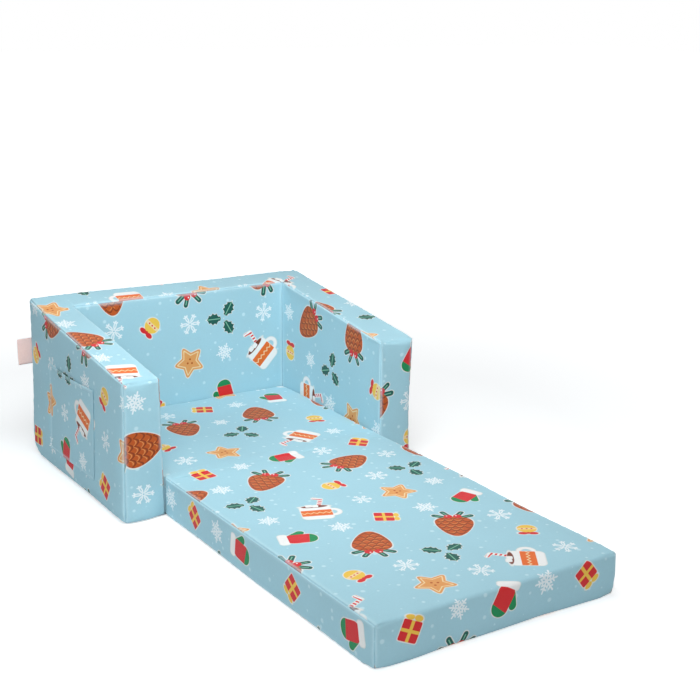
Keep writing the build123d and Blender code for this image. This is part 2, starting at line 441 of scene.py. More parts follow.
def held_below(values: Points, limit: float, ease: float = 0.3) -> Points:
    """Keeps values below a limit, and eases them into it."""
    gap = limit - values
    return limit - (gap + np.sqrt(gap * gap + ease * ease)) / 2


def vertex_normals(points: Points, quads: Points) -> Points:
    """Outward direction at each point of a mesh of quads.

    Args:
        points: The mesh's points.
        quads: Four points for each face.

    Returns:
        One direction for each point, of length one.
    """
    corners = points[quads]
    facing = np.cross(corners[:, 2] - corners[:, 0], corners[:, 3] - corners[:, 1])
    normals = np.zeros_like(points)
    for corner in range(4):
        np.add.at(normals, quads[:, corner], facing)
    return normals / np.maximum(np.linalg.norm(normals, axis=1), TINY)[:, None]


@dataclass(frozen=True)
class FoamCore:
    """Foam nodes that a cover has to stay outside of."""

    nodes: tuple[str, ...]
    margin: float = 0.35
    reach: float = 12.0

    def clear(self, points: Points) -> Points:
        """Moves points that are in the foam, or nearly, out to just above its faces.

        Args:
            points: Places in space, in mm.

        Returns:
            The places after the move.
        """
        moved = points.copy()
        for name in self.nodes:
            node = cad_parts[name]
            corners = [node.matrix_world @ vertex.co / MM for vertex in node.data.vertices]
            tree = BVHTree.FromPolygons(corners, [tuple(face.vertices) for face in node.data.polygons])
            low, high = np.array(corners).min(0) - self.margin, np.array(corners).max(0) + self.margin
            for index in np.flatnonzero(((moved > low) & (moved < high)).all(1)):
                place = Vector(moved[index])
                surface, facing, _, _ = tree.find_nearest(place, self.reach)
                if surface is not None and (place - surface).dot(facing) < self.margin:
                    moved[index] = surface + facing * self.margin
        return moved


class ClothShell:
    """Shell of cloth panels that share their edge points, each with its own flat layout."""

    def __init__(self, name: str) -> None:
        """Starts an empty shell, with no slope and with the cloth slack all over.

        Args:
            name: Name of the piece.
        """
        self.name = name
        self.count = 0
        self.points: list[Points] = []
        self.quads: list[Points] = []
        self.flats: list[Points] = []
        self.crowns: list[Points] = []
        self.slope: Shape = lambda points: points
        self.slack: Shape = lambda points: np.ones(len(points))

    def grid(self, places: Points, flat: Points, turned: bool, crown: Points) -> None:
        """Adds a grid of points as one panel.

        Args:
            places: Points of the panel, rows by columns by three, in mm.
            flat: Their flat places, in mm.
            turned: Whether the faces look the other way than rows cross columns.
            crown: How far each point swells outwards, in mm.
        """
        rows, columns = places.shape[:2]
        index = np.arange(rows * columns).reshape(rows, columns) + self.count
        ring = [index[:-1, :-1], index[1:, :-1], index[1:, 1:], index[:-1, 1:]]
        if turned:
            ring.reverse()
        self.quads.append(np.stack(ring, -1).reshape(-1, 4))
        self.points.append(places.reshape(-1, 3))
        self.flats.append(flat.reshape(-1, 2))
        self.crowns.append(crown.reshape(-1))
        self.count += rows * columns

    def panel(
        self,
        face: Face,
        first: Points,
        second: Points,
        flat: Flat,
        crown: float = 0.0,
        reach: float = 15.0,
        free: tuple[int, ...] = (),
    ) -> None:
        """Adds a flat panel on one plane.

        Args:
            face: The plane's axis, its place and the way that it looks.
            first: Grid lines on the lower of the other two axes.
            second: Grid lines on the higher one.
            flat: How the print lies.
            crown: How far the panel's middle swells, in mm.
            reach: How far from its edges it does so, in mm.
            free: Sides that the swell doesn't sink to: 0 and 1 for first, 2 and 3 for second.
        """
        axis, value, way = face
        one, two = [a for a in range(3) if a != axis]
        rows, columns = np.meshgrid(first, second, indexing="ij")
        places = np.empty(rows.shape + (3,))
        places[..., axis], places[..., one], places[..., two] = value, rows, columns
        sides = [rows - first[0], first[-1] - rows, columns - second[0], second[-1] - columns]
        swell = np.full(rows.shape, crown)
        for number, inset in enumerate(sides):
            if number not in free:
                swell = swell * (1 - bell(inset, reach))
        natural = (1, -1, 1)[axis]
        self.grid(places, flat.lay(self.slope(places)), way != natural, swell)

    def sew(self, shape: Shape, seams: Sequence[Seam], feel: ClothFeel, last: Shape, core: FoamCore) -> Piece:
        """Joins the panels, shapes them and makes the mesh.

        Args:
            shape: Rounds the block's points and puts them in their place.
            seams: Sewn lines, in the block's own places.
            feel: How the cloth lies.
            last: Last change to the places, such as a pressed-in strip.
            core: The foam under the cloth.

        Returns:
            The piece, with a UV map of real size in metres and the attributes of its seams, which mask the
            painted highlight and shade beside them.
        """
        block = np.concatenate(self.points)
        steps = np.round(block * 100).astype(np.int64)
        _, first, merged = np.unique(steps, axis=0, return_index=True, return_inverse=True)
        merged = merged.reshape(-1)
        places, crowns = block[first], np.concatenate(self.crowns)
        crown, low = np.zeros(len(places)), np.zeros(len(places))
        np.maximum.at(crown, merged, crowns)
        np.minimum.at(low, merged, crowns)
        corner_index = np.concatenate(self.quads)
        quads = merged[corner_index]
        shaped = shape(places)
        normals = vertex_normals(shaped, quads)
        ends = np.array([end for seam in seams for end in (seam.start, seam.end)])
        corners, uses = np.unique(ends, axis=0, return_counts=True)
        lift = feel.height(places, shaped, seams, corners[uses > 1]) * self.slack(places)
        height = crown + low + lift
        shaped = core.clear(last(shaped + normals * height[:, None]))
        away, _ = seam_places(places, seams)
        return make_mesh(self.name, shaped, quads, np.concatenate(self.flats), corner_index, away)


def add_object(name: str, data: bpy.types.ID) -> Piece:
    """Puts a new object with its data in the scene.

    Args:
        name: Its name.
        data: Its mesh or curve.

    Returns:
        The object.
    """
    piece = bpy.data.objects.new(name, data)
    bpy.context.scene.collection.objects.link(piece)
    return piece


def smooth(mesh: bpy.types.Mesh) -> None:
    """Shades every face of a mesh smooth."""
    mesh.polygons.foreach_set("use_smooth", [True] * len(mesh.polygons))


def make_mesh(
    name: str,
    places: Points,
    quads: Points,
    flats: Points,
    flat_index: Points,
    seam_away: Points | None = None,
) -> Piece:
    """Makes a smooth mesh object at the origin.

    Args:
        name: Name of the piece.
        places: Points, in mm.
        quads: Four points for each face.
        flats: Flat places, in mm.
        flat_index: Which flat place each face corner has.
        seam_away: Distance of each point from its nearest seam, in mm.

    Returns:
        The object, with the attributes of SEAM_MARKS, which mask the painted seam highlight and shade, where
        it has seams.
    """
    mesh = bpy.data.meshes.new(name)
    mesh.from_pydata((places * MM).tolist(), [], quads.tolist())
    smooth(mesh)
    layer = mesh.uv_layers.new(name="cloth")
    layer.data.foreach_set("uv", (flats[flat_index.reshape(-1)] * MM).astype(np.float32).ravel())
    if seam_away is not None:
        for mark, (middle, reach) in SEAM_MARKS.items():
            attribute = mesh.attributes.new(mark, "FLOAT", "POINT")
            attribute.data.foreach_set("value", bell(seam_away - middle, reach).astype(np.float32))
    mesh.validate()
    mesh.update()
    return add_object(name, mesh)


def dress(piece: Piece, material: Material) -> None:
    """Gives a piece one material."""
    piece.data.materials.clear()
    piece.data.materials.append(material)


def apply_modifiers(piece: Piece) -> None:
    """Turns a piece with modifiers into a plain mesh.

    Args:
        piece: The piece.
    """
    depsgraph = bpy.context.evaluated_depsgraph_get()
    mesh = bpy.data.meshes.new_from_object(piece.evaluated_get(depsgraph))
    mesh.name = piece.name
    piece.modifiers.clear()
    piece.data = mesh


@dataclass(frozen=True)
class Sheet:
    """Thin piece of cloth whose points are one grid, in mm."""

    name: str
    places: Points
    flat: Points
    turned: bool
    thickness: float
    offset: float = -1.0

    def make(self, material: Material, seam_away: Points | None = None) -> Piece:
        """Makes the sheet and gives it its thickness.

        Args:
            material: Its finish.
            seam_away: Distance of each point from its nearest seam, in mm.

        Returns:
            The piece; an offset of -1 has put its thickness behind its faces.
        """
        shell = ClothShell(self.name)
        shell.grid(self.places, self.flat, self.turned, np.zeros(self.places.shape[:2]))
        quads = shell.quads[0]
        piece = make_mesh(self.name, shell.points[0], quads, shell.flats[0], quads, seam_away)
        modifier = piece.modifiers.new("thickness", "SOLIDIFY")
        modifier.thickness, modifier.offset, modifier.use_rim = self.thickness * MM, self.offset, True
        apply_modifiers(piece)
        dress(piece, material)
        return piece


def hand_over(piece: Piece, slot: Slot, *nodes: str, body: str | None = "frame") -> Piece:
    """Args:
        piece: The piece.
        slot: The record's slot; not used.
        nodes: The nodes that it replaces.
        body: The body that it rides on, or None where it rides on none.

    Returns:
        The piece.
    """
    if body is not None:
        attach(piece, body)
    if nodes:
        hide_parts(*nodes)
    size = np.array(piece.bound_box).max(0) - np.array(piece.bound_box).min(0)
    measures = " x ".join(f"{value / MM:.0f}" for value in size)
    log.info("%s: %s mm, %d faces", piece.name, measures, len(piece.data.polygons))
    return piece


# Node trees


class Wire:
    """A number that flows through a node tree, so that a pattern reads as arithmetic.

    Of two distances from shapes, a | b is the distance from the nearer shape.
    """

    def __init__(self, tree: bpy.types.NodeTree, socket: Socket) -> None:
        """Keeps the tree and the socket that the number leaves."""
        self.tree = tree
        self.socket = socket

    def run(self, operation: str, *others: Number, clamp: bool = False, swap: bool = False) -> "Wire":
        """Adds one Math node.

        Args:
            operation: Blender's name of the operation.
            others: The other numbers that it takes.
            clamp: Whether the result is kept from 0 to 1.
            swap: Whether this number comes second.

        Returns:
            The result.
        """
        node = self.tree.nodes.new("ShaderNodeMath")
        node.operation, node.use_clamp = operation, clamp
        values = [self, *others]
        if swap:
            values.reverse()
        for place, value in zip(node.inputs, values):
            if isinstance(value, Wire):
                self.tree.links.new(value.socket, place)
            else:
                place.default_value = value
        return Wire(self.tree, node.outputs[0])

    __add__ = partialmethod(run, "ADD")
    __sub__ = partialmethod(run, "SUBTRACT")
    __rsub__ = partialmethod(run, "SUBTRACT", swap=True)
    __mul__ = partialmethod(run, "MULTIPLY")
    __truediv__ = partialmethod(run, "DIVIDE")
    __mod__ = partialmethod(run, "FLOORED_MODULO")
    __or__ = partialmethod(run, "MINIMUM")
    __abs__ = partialmethod(run, "ABSOLUTE")
    sine = partialmethod(run, "SINE")

    def inside(self, edge: float = 0.0, soft: float = 0.6) -> "Wire":
        """1 where this distance is under edge and 0 beyond it, with a soft step, in mm."""
        return self.run("MULTIPLY_ADD", -1 / soft, 0.5 + edge / soft, clamp=True)


@dataclass(frozen=True)
class Colour:
    """A colour as it is seen, in hexadecimal."""

    code: str

    def linear(self) -> tuple[float, float, float, float]:
        """The colour as Blender's sockets take it."""
        values = [int(self.code[i : i + 2], 16) / 255 for i in (0, 2, 4)]
        return (*(v / 12.92 if v <= 0.04045 else ((v + 0.055) / 1.055) ** 2.4 for v in values), 1.0)


class TreeMaker:
    """Makes the nodes of a tree and their links."""

    def __init__(self, tree: bpy.types.NodeTree) -> None:
        """Starts with an empty tree."""
        self.tree = tree
        tree.nodes.clear()

    def node(self, kind: str, inputs: dict[str | int, object] | None = None, **settings: object) -> Node:
        """Adds a node.

        Args:
            kind: Blender's name of the node.
            inputs: What its inputs take, by name or number: values, wires, spots, sockets, or
                nodes for their first output.
            settings: Its own settings.

        Returns:
            The node.
        """
        node = self.tree.nodes.new(kind)
        for name, value in settings.items():
            setattr(node, name, value)
        for key, value in (inputs or {}).items():
            if isinstance(value, (Wire, Spot)):
                value = value.socket
            elif isinstance(value, Node):
                value = value.outputs[0]
            if isinstance(value, Socket):
                self.tree.links.new(value, node.inputs[key])
            else:
                node.inputs[key].default_value = value
        return node

    def wire(self, source: Socket | Node) -> Wire:
        """A socket, or a node's first output, as a number."""
        return Wire(self.tree, source if isinstance(source, Socket) else source.outputs[0])

    def vector(self, operation: str, *values: object) -> Socket:
        """One Vector Math node's result."""
        node = self.node("ShaderNodeVectorMath", dict(enumerate(values)), operation=operation)
        return node.outputs["Value" if operation in ("LENGTH", "DISTANCE", "DOT_PRODUCT") else "Vector"]

    def measure(self, operation: str, *values: object) -> Wire:
        """The same for an operation that gives a number."""
        return self.wire(self.vector(operation, *values))

    def scaled(self, vector: object, share: Number) -> Socket:
        """A vector or a colour times a number."""
        return self.node("ShaderNodeVectorMath", {0: vector, "Scale": share}, operation="SCALE").outputs[0]


class Spot:
    """A flat place that flows through a material, in mm.

    A shape is drawn as the distance of the place from its edge, less than zero in it.
    """

    def __init__(self, maker: TreeMaker, socket: Socket) -> None:
        """Keeps the tree's maker and the socket that the place leaves."""
        self.maker = maker
        self.socket = socket

    def parts(self) -> tuple[Wire, Wire]:
        """Its two numbers."""
        outputs = self.maker.node("ShaderNodeSeparateXYZ", {0: self}).outputs
        return self.maker.wire(outputs[0]), self.maker.wire(outputs[1])

    def at(self, first: Wire, second: Wire) -> "Spot":
        """Another place in the same tree, from its two numbers."""
        return Spot(self.maker, self.maker.node("ShaderNodeCombineXYZ", {0: first, 1: second}).outputs[0])

    def turned(self, angle: Number) -> "Spot":
        """This place turned round the middle."""
        inputs = {"Vector": self, "Angle": angle}
        node = self.maker.node("ShaderNodeVectorRotate", inputs, rotation_type="Z_AXIS")
        return Spot(self.maker, node.outputs[0])

    def folded(self, arms: int, mirrored: bool) -> "Spot":
        """Turns every arm of a star-like motif onto the first, so that one arm is drawn for all.

        Args:
            arms: How many arms the motif has.
            mirrored: Whether an arm's two sides are alike.

        Returns:
            The place beside the first arm.
        """
        x, y = self.parts()
        turn = y.run("ARCTAN2", x) % (TURN / arms) - TURN / arms / 2
        if mirrored:
            turn = abs(turn)
        reach = self.maker.measure("LENGTH", self)
        return self.at(reach * turn.run("COSINE"), reach * turn.sine())

    def disc(self, x: float, y: float, radius: float) -> Wire:
        """A disc round a middle."""
        return self.maker.measure("DISTANCE", self, (x, y, 0)) - radius

    def oval(self, x: float, y: float, wide: float, high: float) -> Wire:
        """An oval with two half sizes."""
        sized = self.maker.vector("MULTIPLY_ADD", self, (1 / wide, 1 / high, 0), (-x / wide, -y / high, 0))
        return self.maker.measure("LENGTH", sized) * min(wide, high) - min(wide, high)

    def bar(self, start: Sequence[float], end: Sequence[float], radius: float) -> Wire:
        """A bar with round ends.

        Args:
            start: Middle of its first end.
            end: Middle of its other end.
            radius: Half its width.

        Returns:
            Distance from its edge.
        """
        run = (end[0] - start[0], end[1] - start[1])
        square = math.hypot(*run) ** 2
        away = self.maker.vector("SUBTRACT", self, (*start, 0))
        along = self.maker.measure("DOT_PRODUCT", away, (run[0] / square, run[1] / square, 0))
        on_line = self.maker.scaled((*run, 0), along.run("ADD", 0.0, clamp=True))
        return self.maker.measure("DISTANCE", away, on_line) - radius

    def block(self, x: float, y: float, wide: float, high: float, radius: float) -> Wire:
        """A rectangle with round corners.

        Args:
            x: Its middle, across.
            y: Its middle, up.
            wide: Half its width.
            high: Half its height.
            radius: Radius of its corners.

        Returns:
            Distance from its edge.
        """
        away = self.maker.vector("ABSOLUTE", self.maker.vector("SUBTRACT", self, (x, y, 0)))
        over = self.maker.vector("SUBTRACT", away, (wide - radius, high - radius, 0))
        return self.maker.measure("LENGTH", self.maker.vector("MAXIMUM", over, (0, 0, 0))) - radius


class Painter(TreeMaker):
    """Builds a material: lays colours over each other and ends in one shader."""

    def __init__(self, name: str, ground: Colour | None = None) -> None:
        """Starts a material with its ground colour.

        Args:
            name: Its name.
            ground: The colour, if it has one.
        """
        self.material = bpy.data.materials.new(name)
        self.material.use_nodes = True
        super().__init__(self.material.node_tree)
        if ground is not None:
            paint = self.node("ShaderNodeRGB")
            paint.outputs[0].default_value = ground.linear()
            self.colour = paint.outputs[0]

    def flat(self) -> Spot:
        """Flat place on the cloth, in mm."""
        return Spot(self, self.scaled(self.node("ShaderNodeUVMap", uv_map="cloth"), 1 / MM))

    def space(self) -> Socket:
        """Place in the object, in metres."""
        return self.node("ShaderNodeTexCoord").outputs["Object"]

    def paint(self, colour: Colour, mask: Wire) -> None:
        """Lays a colour over what is there, where its mask is."""
        inputs = {"Factor": mask, "A": self.colour, "B": colour.linear()}
        self.colour = self.node("ShaderNodeMix", inputs, data_type="RGBA").outputs["Result"]

    def noise(self, scale: float, detail: float, source: Socket) -> Wire:
        """Noise from 0 to 1 over a place."""
        inputs = {"Vector": source, "Scale": scale, "Detail": detail}
        return self.wire(self.node("ShaderNodeTexNoise", inputs))

    def weave(self, flat: Spot, thread: float) -> tuple[Wire, Wire]:
        """Waves of the warp and of the weft, with one thread's width in mm."""
        warp, weft = ((way * (TURN / thread)).sine() for way in flat.parts())
        return warp, weft

    def bump(self, height: Wire, distance: float, strength: float, normal: Socket | None = None) -> Socket:
        """Turns the surface's normal by a height.

        Args:
            height: The height, from 0 to 1.
            distance: How high 1 is, in mm.
            strength: Share of it that shows.
            normal: The normal that it starts from, where it isn't the mesh's own.

        Returns:
            The new normal.
        """
        inputs = {"Height": height, "Distance": distance * MM, "Strength": strength}
        if normal is not None:
            inputs["Normal"] = normal
        return self.node("ShaderNodeBump", inputs).outputs[0]

    def finish(
        self, normal: Socket, roughness: Number, tone: Wire | None = None, **plain: object
    ) -> Material:
        """Ends the tree in a Principled shader.

        Args:
            normal: The surface's normal.
            roughness: Its roughness.
            tone: How much lighter or darker the colour is made.
            plain: Values of other sockets, with underscores for the spaces in their names.

        Returns:
            The material.
        """
        colour = self.colour if tone is None else self.scaled(self.colour, tone)
        inputs = {"Base Color": colour, "Roughness": roughness, "Normal": normal}
        inputs.update({name.replace("_", " "): value for name, value in plain.items()})
        self.node("ShaderNodeOutputMaterial", {"Surface": self.node("ShaderNodeBsdfPrincipled", inputs)})
        return self.material


# Finishes


class Drawing:
    """Shapes of one motif, laid over each other, with one pale rim round them all."""

    def __init__(self) -> None:
        """Starts with no shape."""
        self.layers: list[tuple[Colour, Wire]] = []
        self.outer: Wire | None = None

    def shape(self, colour: Colour, edge: Wire) -> Wire:
        """Adds a shape.

        Args:
            colour: Its colour.
            edge: Distance from its edge.

        Returns:
            Its mask.
        """
        mask = edge.inside()
        self.layers.append((colour, mask))
        self.outer = edge if self.outer is None else self.outer | edge
        return mask

    def mark(self, colour: Colour, mask: Wire) -> None:
        """Adds a mark inside the motif."""
        self.layers.append((colour, mask))

    def lay(self, painter: Painter, chosen: Wire, rim: Colour, width: float) -> None:
        """Lays the rim and then every shape on the cloth.

        Args:
            painter: The cloth's tree.
            chosen: Mask of the cells that hold the motif.
            rim: The rim's colour.
            width: Its width, in mm.
        """
        painter.paint(rim, self.outer.inside(width, 0.9) * 0.9 * chosen)
        for colour, mask in self.layers:
            painter.paint(colour, mask * chosen)


class Motif(Enum):
    """The print's motifs, by their place in the repeat."""

    CONE = (0, 4)
    BAUBLE = (1,)
    COOKIE = (2,)
    MITTEN = (3,)
    HOLLY = (5,)
    MUG = (6,)
    GIFT = (7,)


@dataclass(frozen=True)
class PrintedCloth:
    """Brushed polyester in light blue, with a winter print of cones, holly, mittens, mugs and snow.

    Each motif has a method of its name, which takes the place in its cell and adds its shapes
    to a drawing.
    """

    ground: Colour = Colour("A8D2DF")
    # pale is the snow dots' colour and also the painted highlight on each seam's lip; seam_shade is the
    # painted shade in each seam's groove.
    pale: Colour = Colour("C9E6EF")
    seam_shade: Colour = Colour("6FA6C0")
    snow: Colour = Colour("F3F8FA")
    rim: Colour = Colour("EDE9E4")
    brown: Colour = Colour("C2571F")
    dark_brown: Colour = Colour("7A3518")
    caramel: Colour = Colour("E8A05C")
    icing: Colour = Colour("F8D9A8")
    red: Colour = Colour("DB2A2E")
    green: Colour = Colour("178A52")
    dark_green: Colour = Colour("1D5A50")
    leaf_line: Colour = Colour("7FC0A0")
    yellow: Colour = Colour("F4C64E")
    orange: Colour = Colour("EC6F2A")
    white: Colour = Colour("F6F4F2")
    repeat: float = 118.0
    slant: float = 45.0
    dot_repeat: float = 31.0
    kinds: int = 8
    motif_scale: float = 1.13
    rim_width: float = 1.5
    thread: float = 1.1

    def lattice(self, painter: Painter, flat: Spot, shift: float, jitter: float) -> tuple:
        """Splits the cloth into slanted cells, with a turned and jittered place in each.

        Args:
            painter: The tree.
            flat: Flat place on the cloth, in mm.
            shift: Share of a cell by which this lattice is shifted.
            jitter: How far a motif may leave its cell's middle, in mm.

        Returns:
            The cell's number, the place in it in mm, and two chance numbers.
        """
        slanted = flat.turned(math.radians(self.slant))
        cells = painter.vector("MULTIPLY_ADD", slanted, (1 / self.repeat,) * 2 + (0,), (shift, shift, 0))
        number = painter.vector("FLOOR", cells)
        seed = painter.vector("ADD", number, (shift * 7, 3.0, 0))
        chance = painter.node("ShaderNodeTexWhiteNoise", {"Vector": seed}, noise_dimensions="2D").outputs
        middle = painter.vector("SUBTRACT", painter.vector("SUBTRACT", cells, number), (0.5, 0.5, 0))
        place = painter.vector("MULTIPLY", middle, (self.repeat, self.repeat, 0))
        most, least = (jitter, jitter, 0), (-jitter / 2, -jitter / 2, 0)
        place = painter.vector("ADD", place, painter.vector("MULTIPLY_ADD", chance["Color"], most, least))
        local = Spot(painter, place).turned(painter.wire(chance["Value"]) * TURN)
        parts = painter.node("ShaderNodeSeparateColor", {0: chance["Color"]})
        return Spot(painter, number), local, painter.wire(parts.outputs[2]), painter.wire(chance["Value"])

    def snow_layer(self, painter: Painter, flat: Spot) -> None:
        """Paints soft dots of snow, and six-armed flakes of two kinds.

        Args:
            painter: The tree.
            flat: Flat place on the cloth.
        """
        inputs = {"Vector": flat, "Scale": 1 / self.dot_repeat, "Randomness": 1.0}
        dots = painter.node("ShaderNodeTexVoronoi", inputs, voronoi_dimensions="2D")
        chance = painter.node("ShaderNodeSeparateColor", {0: dots.outputs["Color"]})
        away = painter.wire(dots.outputs["Distance"]) * self.dot_repeat
        size = painter.wire(chance) * 4.6 - 0.8
        painter.paint(self.pale, (away - size).inside(0.0, 2.2) * 0.95)
        _, place, chance_one, chance_two = self.lattice(painter, flat, 0.5, 16.0)
        arm = Spot(painter, painter.scaled(place, chance_one * -0.45 + 1.62)).folded(6, True)
        ferny = arm.bar((0, 0), (26, 0), 1.9)
        for start, length in ((8, 8.5), (15, 6.5)):
            ferny |= arm.bar((start, 0), (start + length * 0.5, length * 0.866), 1.8)
        tips = arm.bar((18, 0), (25, 0), 2.0), arm.bar((19, 0), (22.5, 5.0), 1.9)
        petals = arm.oval(14.0, 0, 9.5, 4.3) | tips[0] | tips[1]
        petals = petals.run("MAXIMUM", arm.oval(14.5, 0, 5.0, 1.1) * -1.0)
        petals |= arm.bar((3.4, -2), (3.4, 2), 1.3)
        which = chance_two.run("GREATER_THAN", 0.5)
        shown = chance_one.run("GREATER_THAN", 0.34) * 0.88
        painter.paint(self.snow, (ferny.inside() * which + petals.inside() * (1.0 - which)) * shown)

    def cone(self, place: Spot, drawing: Drawing) -> None:
        """Draws a fir cone on a sprig with two berries.

        Args:
            place: Place in the motif's cell.
            drawing: The motif's drawing.
        """
        x, y = place.parts()
        side = place.at(abs(x), y)
        drawing.shape(self.dark_green, side.bar((4, 16), (27, 27), 4.6) | side.bar((2, 18), (14, 39), 4.2))
        veins = side.bar((8, 18), (26, 26.5), 0.8) | side.bar((4, 20), (13.5, 38), 0.8)
        drawing.mark(self.leaf_line, veins.inside())
        egg = place.at(x * (0.87 - y * 0.0115), y)
        body = drawing.shape(self.brown, egg.oval(0, -11, 26, 34))
        row = (y + 60.0) / 10.5
        step = row.run("FLOOR")
        across = (x / 13.0 + step * 0.5) % 1.0 - 0.5
        up = row - step - across * across * 2.6
        drawing.mark(self.dark_brown, abs(up - 0.12).inside(0.16, 0.1) * body * 0.8)
        lit = egg.oval(-3, -8, 18, 27).inside()
        drawing.mark(self.caramel, abs(up - 0.5).inside(0.07, 0.12) * lit * 0.75)
        drawing.shape(self.red, place.disc(-7, 24, 6.2) | place.disc(7, 25, 6.2))
        drawing.mark(self.white, (place.disc(-9, 26, 1.3) | place.disc(5, 27, 1.3)).inside())

    def bauble(self, place: Spot, drawing: Drawing) -> None:
        """Draws a small yellow bauble with a red bow.

        Args:
            place: Place in the motif's cell.
            drawing: The motif's drawing.
        """
        ball = drawing.shape(self.yellow, place.disc(0, -4, 14.5))
        drawing.mark(self.icing, abs(place.parts()[1] + 4.0).inside(3.0) * ball)
        dots = place.disc(-7, -4, 1.6) | place.disc(0, -4, 1.6) | place.disc(7, -4, 1.6)
        drawing.mark(self.red, dots.inside())
        bow = place.oval(-7.5, 13.5, 7.2, 4.4) | place.oval(7.5, 13.5, 7.2, 4.4)
        drawing.shape(self.red, bow | place.disc(0, 12.5, 3.4))

    def cookie(self, place: Spot, drawing: Drawing) -> None:
        """Draws a five-pointed star biscuit with icing.

        Args:
            place: Place in the motif's cell.
            drawing: The motif's drawing.
        """
        slant = place.maker.measure("DOT_PRODUCT", place.folded(5, True), (0.454, 0.891, 0))
        edge = slant.run("SMOOTH_MAX", place.disc(0, 0, 14.5), 5.0) - 15.5
        drawing.shape(self.caramel, edge)
        drawing.mark(self.icing, abs(edge + 3.9).inside(0.9))
        dots = place.disc(-4.4, 3, 1.9) | place.disc(4.4, 3, 1.9) | place.disc(0, -4.5, 1.9)
        drawing.mark(self.brown, dots.inside())

    def mitten(self, place: Spot, drawing: Drawing) -> None:
        """Draws a red mitten with a green tip and a white cuff.

        Args:
            place: Place in the motif's cell.
            drawing: The motif's drawing.
        """
        drawing.shape(self.green, place.bar((-9, -9), (-19, 4), 6.4))
        hand = drawing.shape(self.red, place.block(1, 2, 14.5, 24, 13.5))
        x, y = place.parts()
        drawing.mark(self.green, (14.5 - (y + x * 0.18)).inside() * hand)
        drawing.shape(self.white, place.block(1, -23, 17, 6.5, 4.5))

    def holly(self, place: Spot, drawing: Drawing) -> None:
        """Draws three holly leaves round their berries.

        Args:
            place: Place in the motif's cell.
            drawing: The motif's drawing.
        """
        leaf = place.folded(3, False)
        x, y = leaf.parts()
        middle, side = (x - 20.5) / 16.5, abs(y)
        half = (1.0 - middle * middle) * 12.0
        drawing.shape(self.dark_green, side - half + abs((x * 0.42).sine()) * 3.4)
        drawing.mark(self.leaf_line, side.inside(0.8) * (abs(middle) * 16.5).inside(13.0))
        drawing.shape(self.red, leaf.disc(-5.2, 0, 4.6))
        drawing.mark(self.yellow, leaf.disc(-6.2, 1.4, 1.1).inside())

    def mug(self, place: Spot, drawing: Drawing) -> None:
        """Draws a white mug with an orange band, a sugar stick and two marshmallows.

        Args:
            place: Place in the motif's cell.
            drawing: The motif's drawing.
        """
        x, y = place.parts()
        stick = place.bar((6, 10), (14, 40), 2.9) | place.bar((14, 40), (4, 45), 2.9)
        stripes = ((y + x * 0.4) / 7.0 % 1.0).run("LESS_THAN", 0.5)
        drawing.mark(self.red, drawing.shape(self.white, stick) * stripes)
        drawing.shape(self.white, abs(place.disc(24, -11, 10.5)) - 2.6)
        drawing.shape(self.white, place.block(0, -10, 23, 25, 8))
        band = place.block(0, -12, 23, 11, 1.5).inside()
        drawing.mark(self.orange, band)
        zigzag = abs((x / 9.2 + 0.5) % 1.0 - 0.5) * 9.0
        drawing.mark(self.icing, abs(y + 14.2 - zigzag).inside(1.2) * band)
        drawing.shape(self.dark_brown, place.oval(0, 13, 20, 4.6))
        puffs = place.block(-8, 15.5, 5.2, 4.2, 2.4) | place.block(1.5, 14, 4.8, 4.0, 2.4)
        drawing.shape(self.white, puffs)

    def gift(self, place: Spot, drawing: Drawing) -> None:
        """Draws a small red box with a yellow ribbon.

        Args:
            place: Place in the motif's cell.
            drawing: The motif's drawing.
        """
        drawing.shape(self.yellow, place.oval(-7, 15.5, 7, 4.2) | place.oval(7, 15.5, 7, 4.2))
        box = drawing.shape(self.red, place.block(0, -3, 15.5, 14.5, 2.5))
        x, y = place.parts()
        drawing.mark(self.yellow, abs(x).inside(2.6).run("MAXIMUM", abs(y + 3.0).inside(2.2)) * box)

    def motif_layer(self, painter: Painter, flat: Spot) -> None:
        """Paints one motif in each cell of the lattice, in a fixed order.

        Args:
            painter: The tree.
            flat: Flat place on the cloth.
        """
        number, place, _, _ = self.lattice(painter, flat, 0.0, 4.0)
        share = (1 / self.motif_scale, 1 / self.motif_scale, 0)
        sized = Spot(painter, painter.vector("MULTIPLY", place, share))
        column, row = number.parts()
        kind = (column + row * 3.0) % float(self.kinds)
        for motif in Motif:
            chosen, *others = (kind.run("COMPARE", float(cell), 0.4) for cell in motif.value)
            for mask in others:
                chosen = chosen.run("MAXIMUM", mask)
            drawing = Drawing()
            getattr(self, motif.name.lower())(sized, drawing)
            drawing.lay(painter, chosen, self.rim, self.rim_width)

    def make(self) -> Material:
        """Builds the print, the painted highlight and shade beside the seams, the weave and the brushed
        surface.

        Returns:
            The material.
        """
        painter = Painter("printed_cloth_look", self.ground)
        flat, space = painter.flat(), painter.space()
        self.snow_layer(painter, flat)
        self.motif_layer(painter, flat)
        # Painted highlight on the lip beside each seam, and painted shade in its groove.
        for name, colour, share in (("seam_lip", self.pale, 0.42), ("seam_line", self.seam_shade, 0.35)):
            painted_seam_highlight_and_shade = painter.wire(painter.node("ShaderNodeAttribute", attribute_name=name).outputs["Fac"])
            painter.paint(colour, painted_seam_highlight_and_shade * share)
        mottle, drift = painter.noise(240.0, 3.0, space), painter.noise(9.0, 2.0, space)
        warp, weft = painter.weave(flat, self.thread)
        swell = painter.bump(painter.noise(16.0, 2.0, space), 3.0, 0.35)
        crease = painter.bump(painter.noise(70.0, 3.0, space), 0.5, 0.4, swell)
        return painter.finish(
            painter.bump(warp * weft, 0.08, 0.5, crease),
            mottle * 0.12 + 0.80,
            mottle * 0.07 + drift * 0.07 + 0.93,
            Specular_IOR_Level=0.25,
            Sheen_Weight=0.18,
            Sheen_Roughness=0.5,
            Sheen_Tint=(0.9, 0.97, 1.0, 1.0),
        )


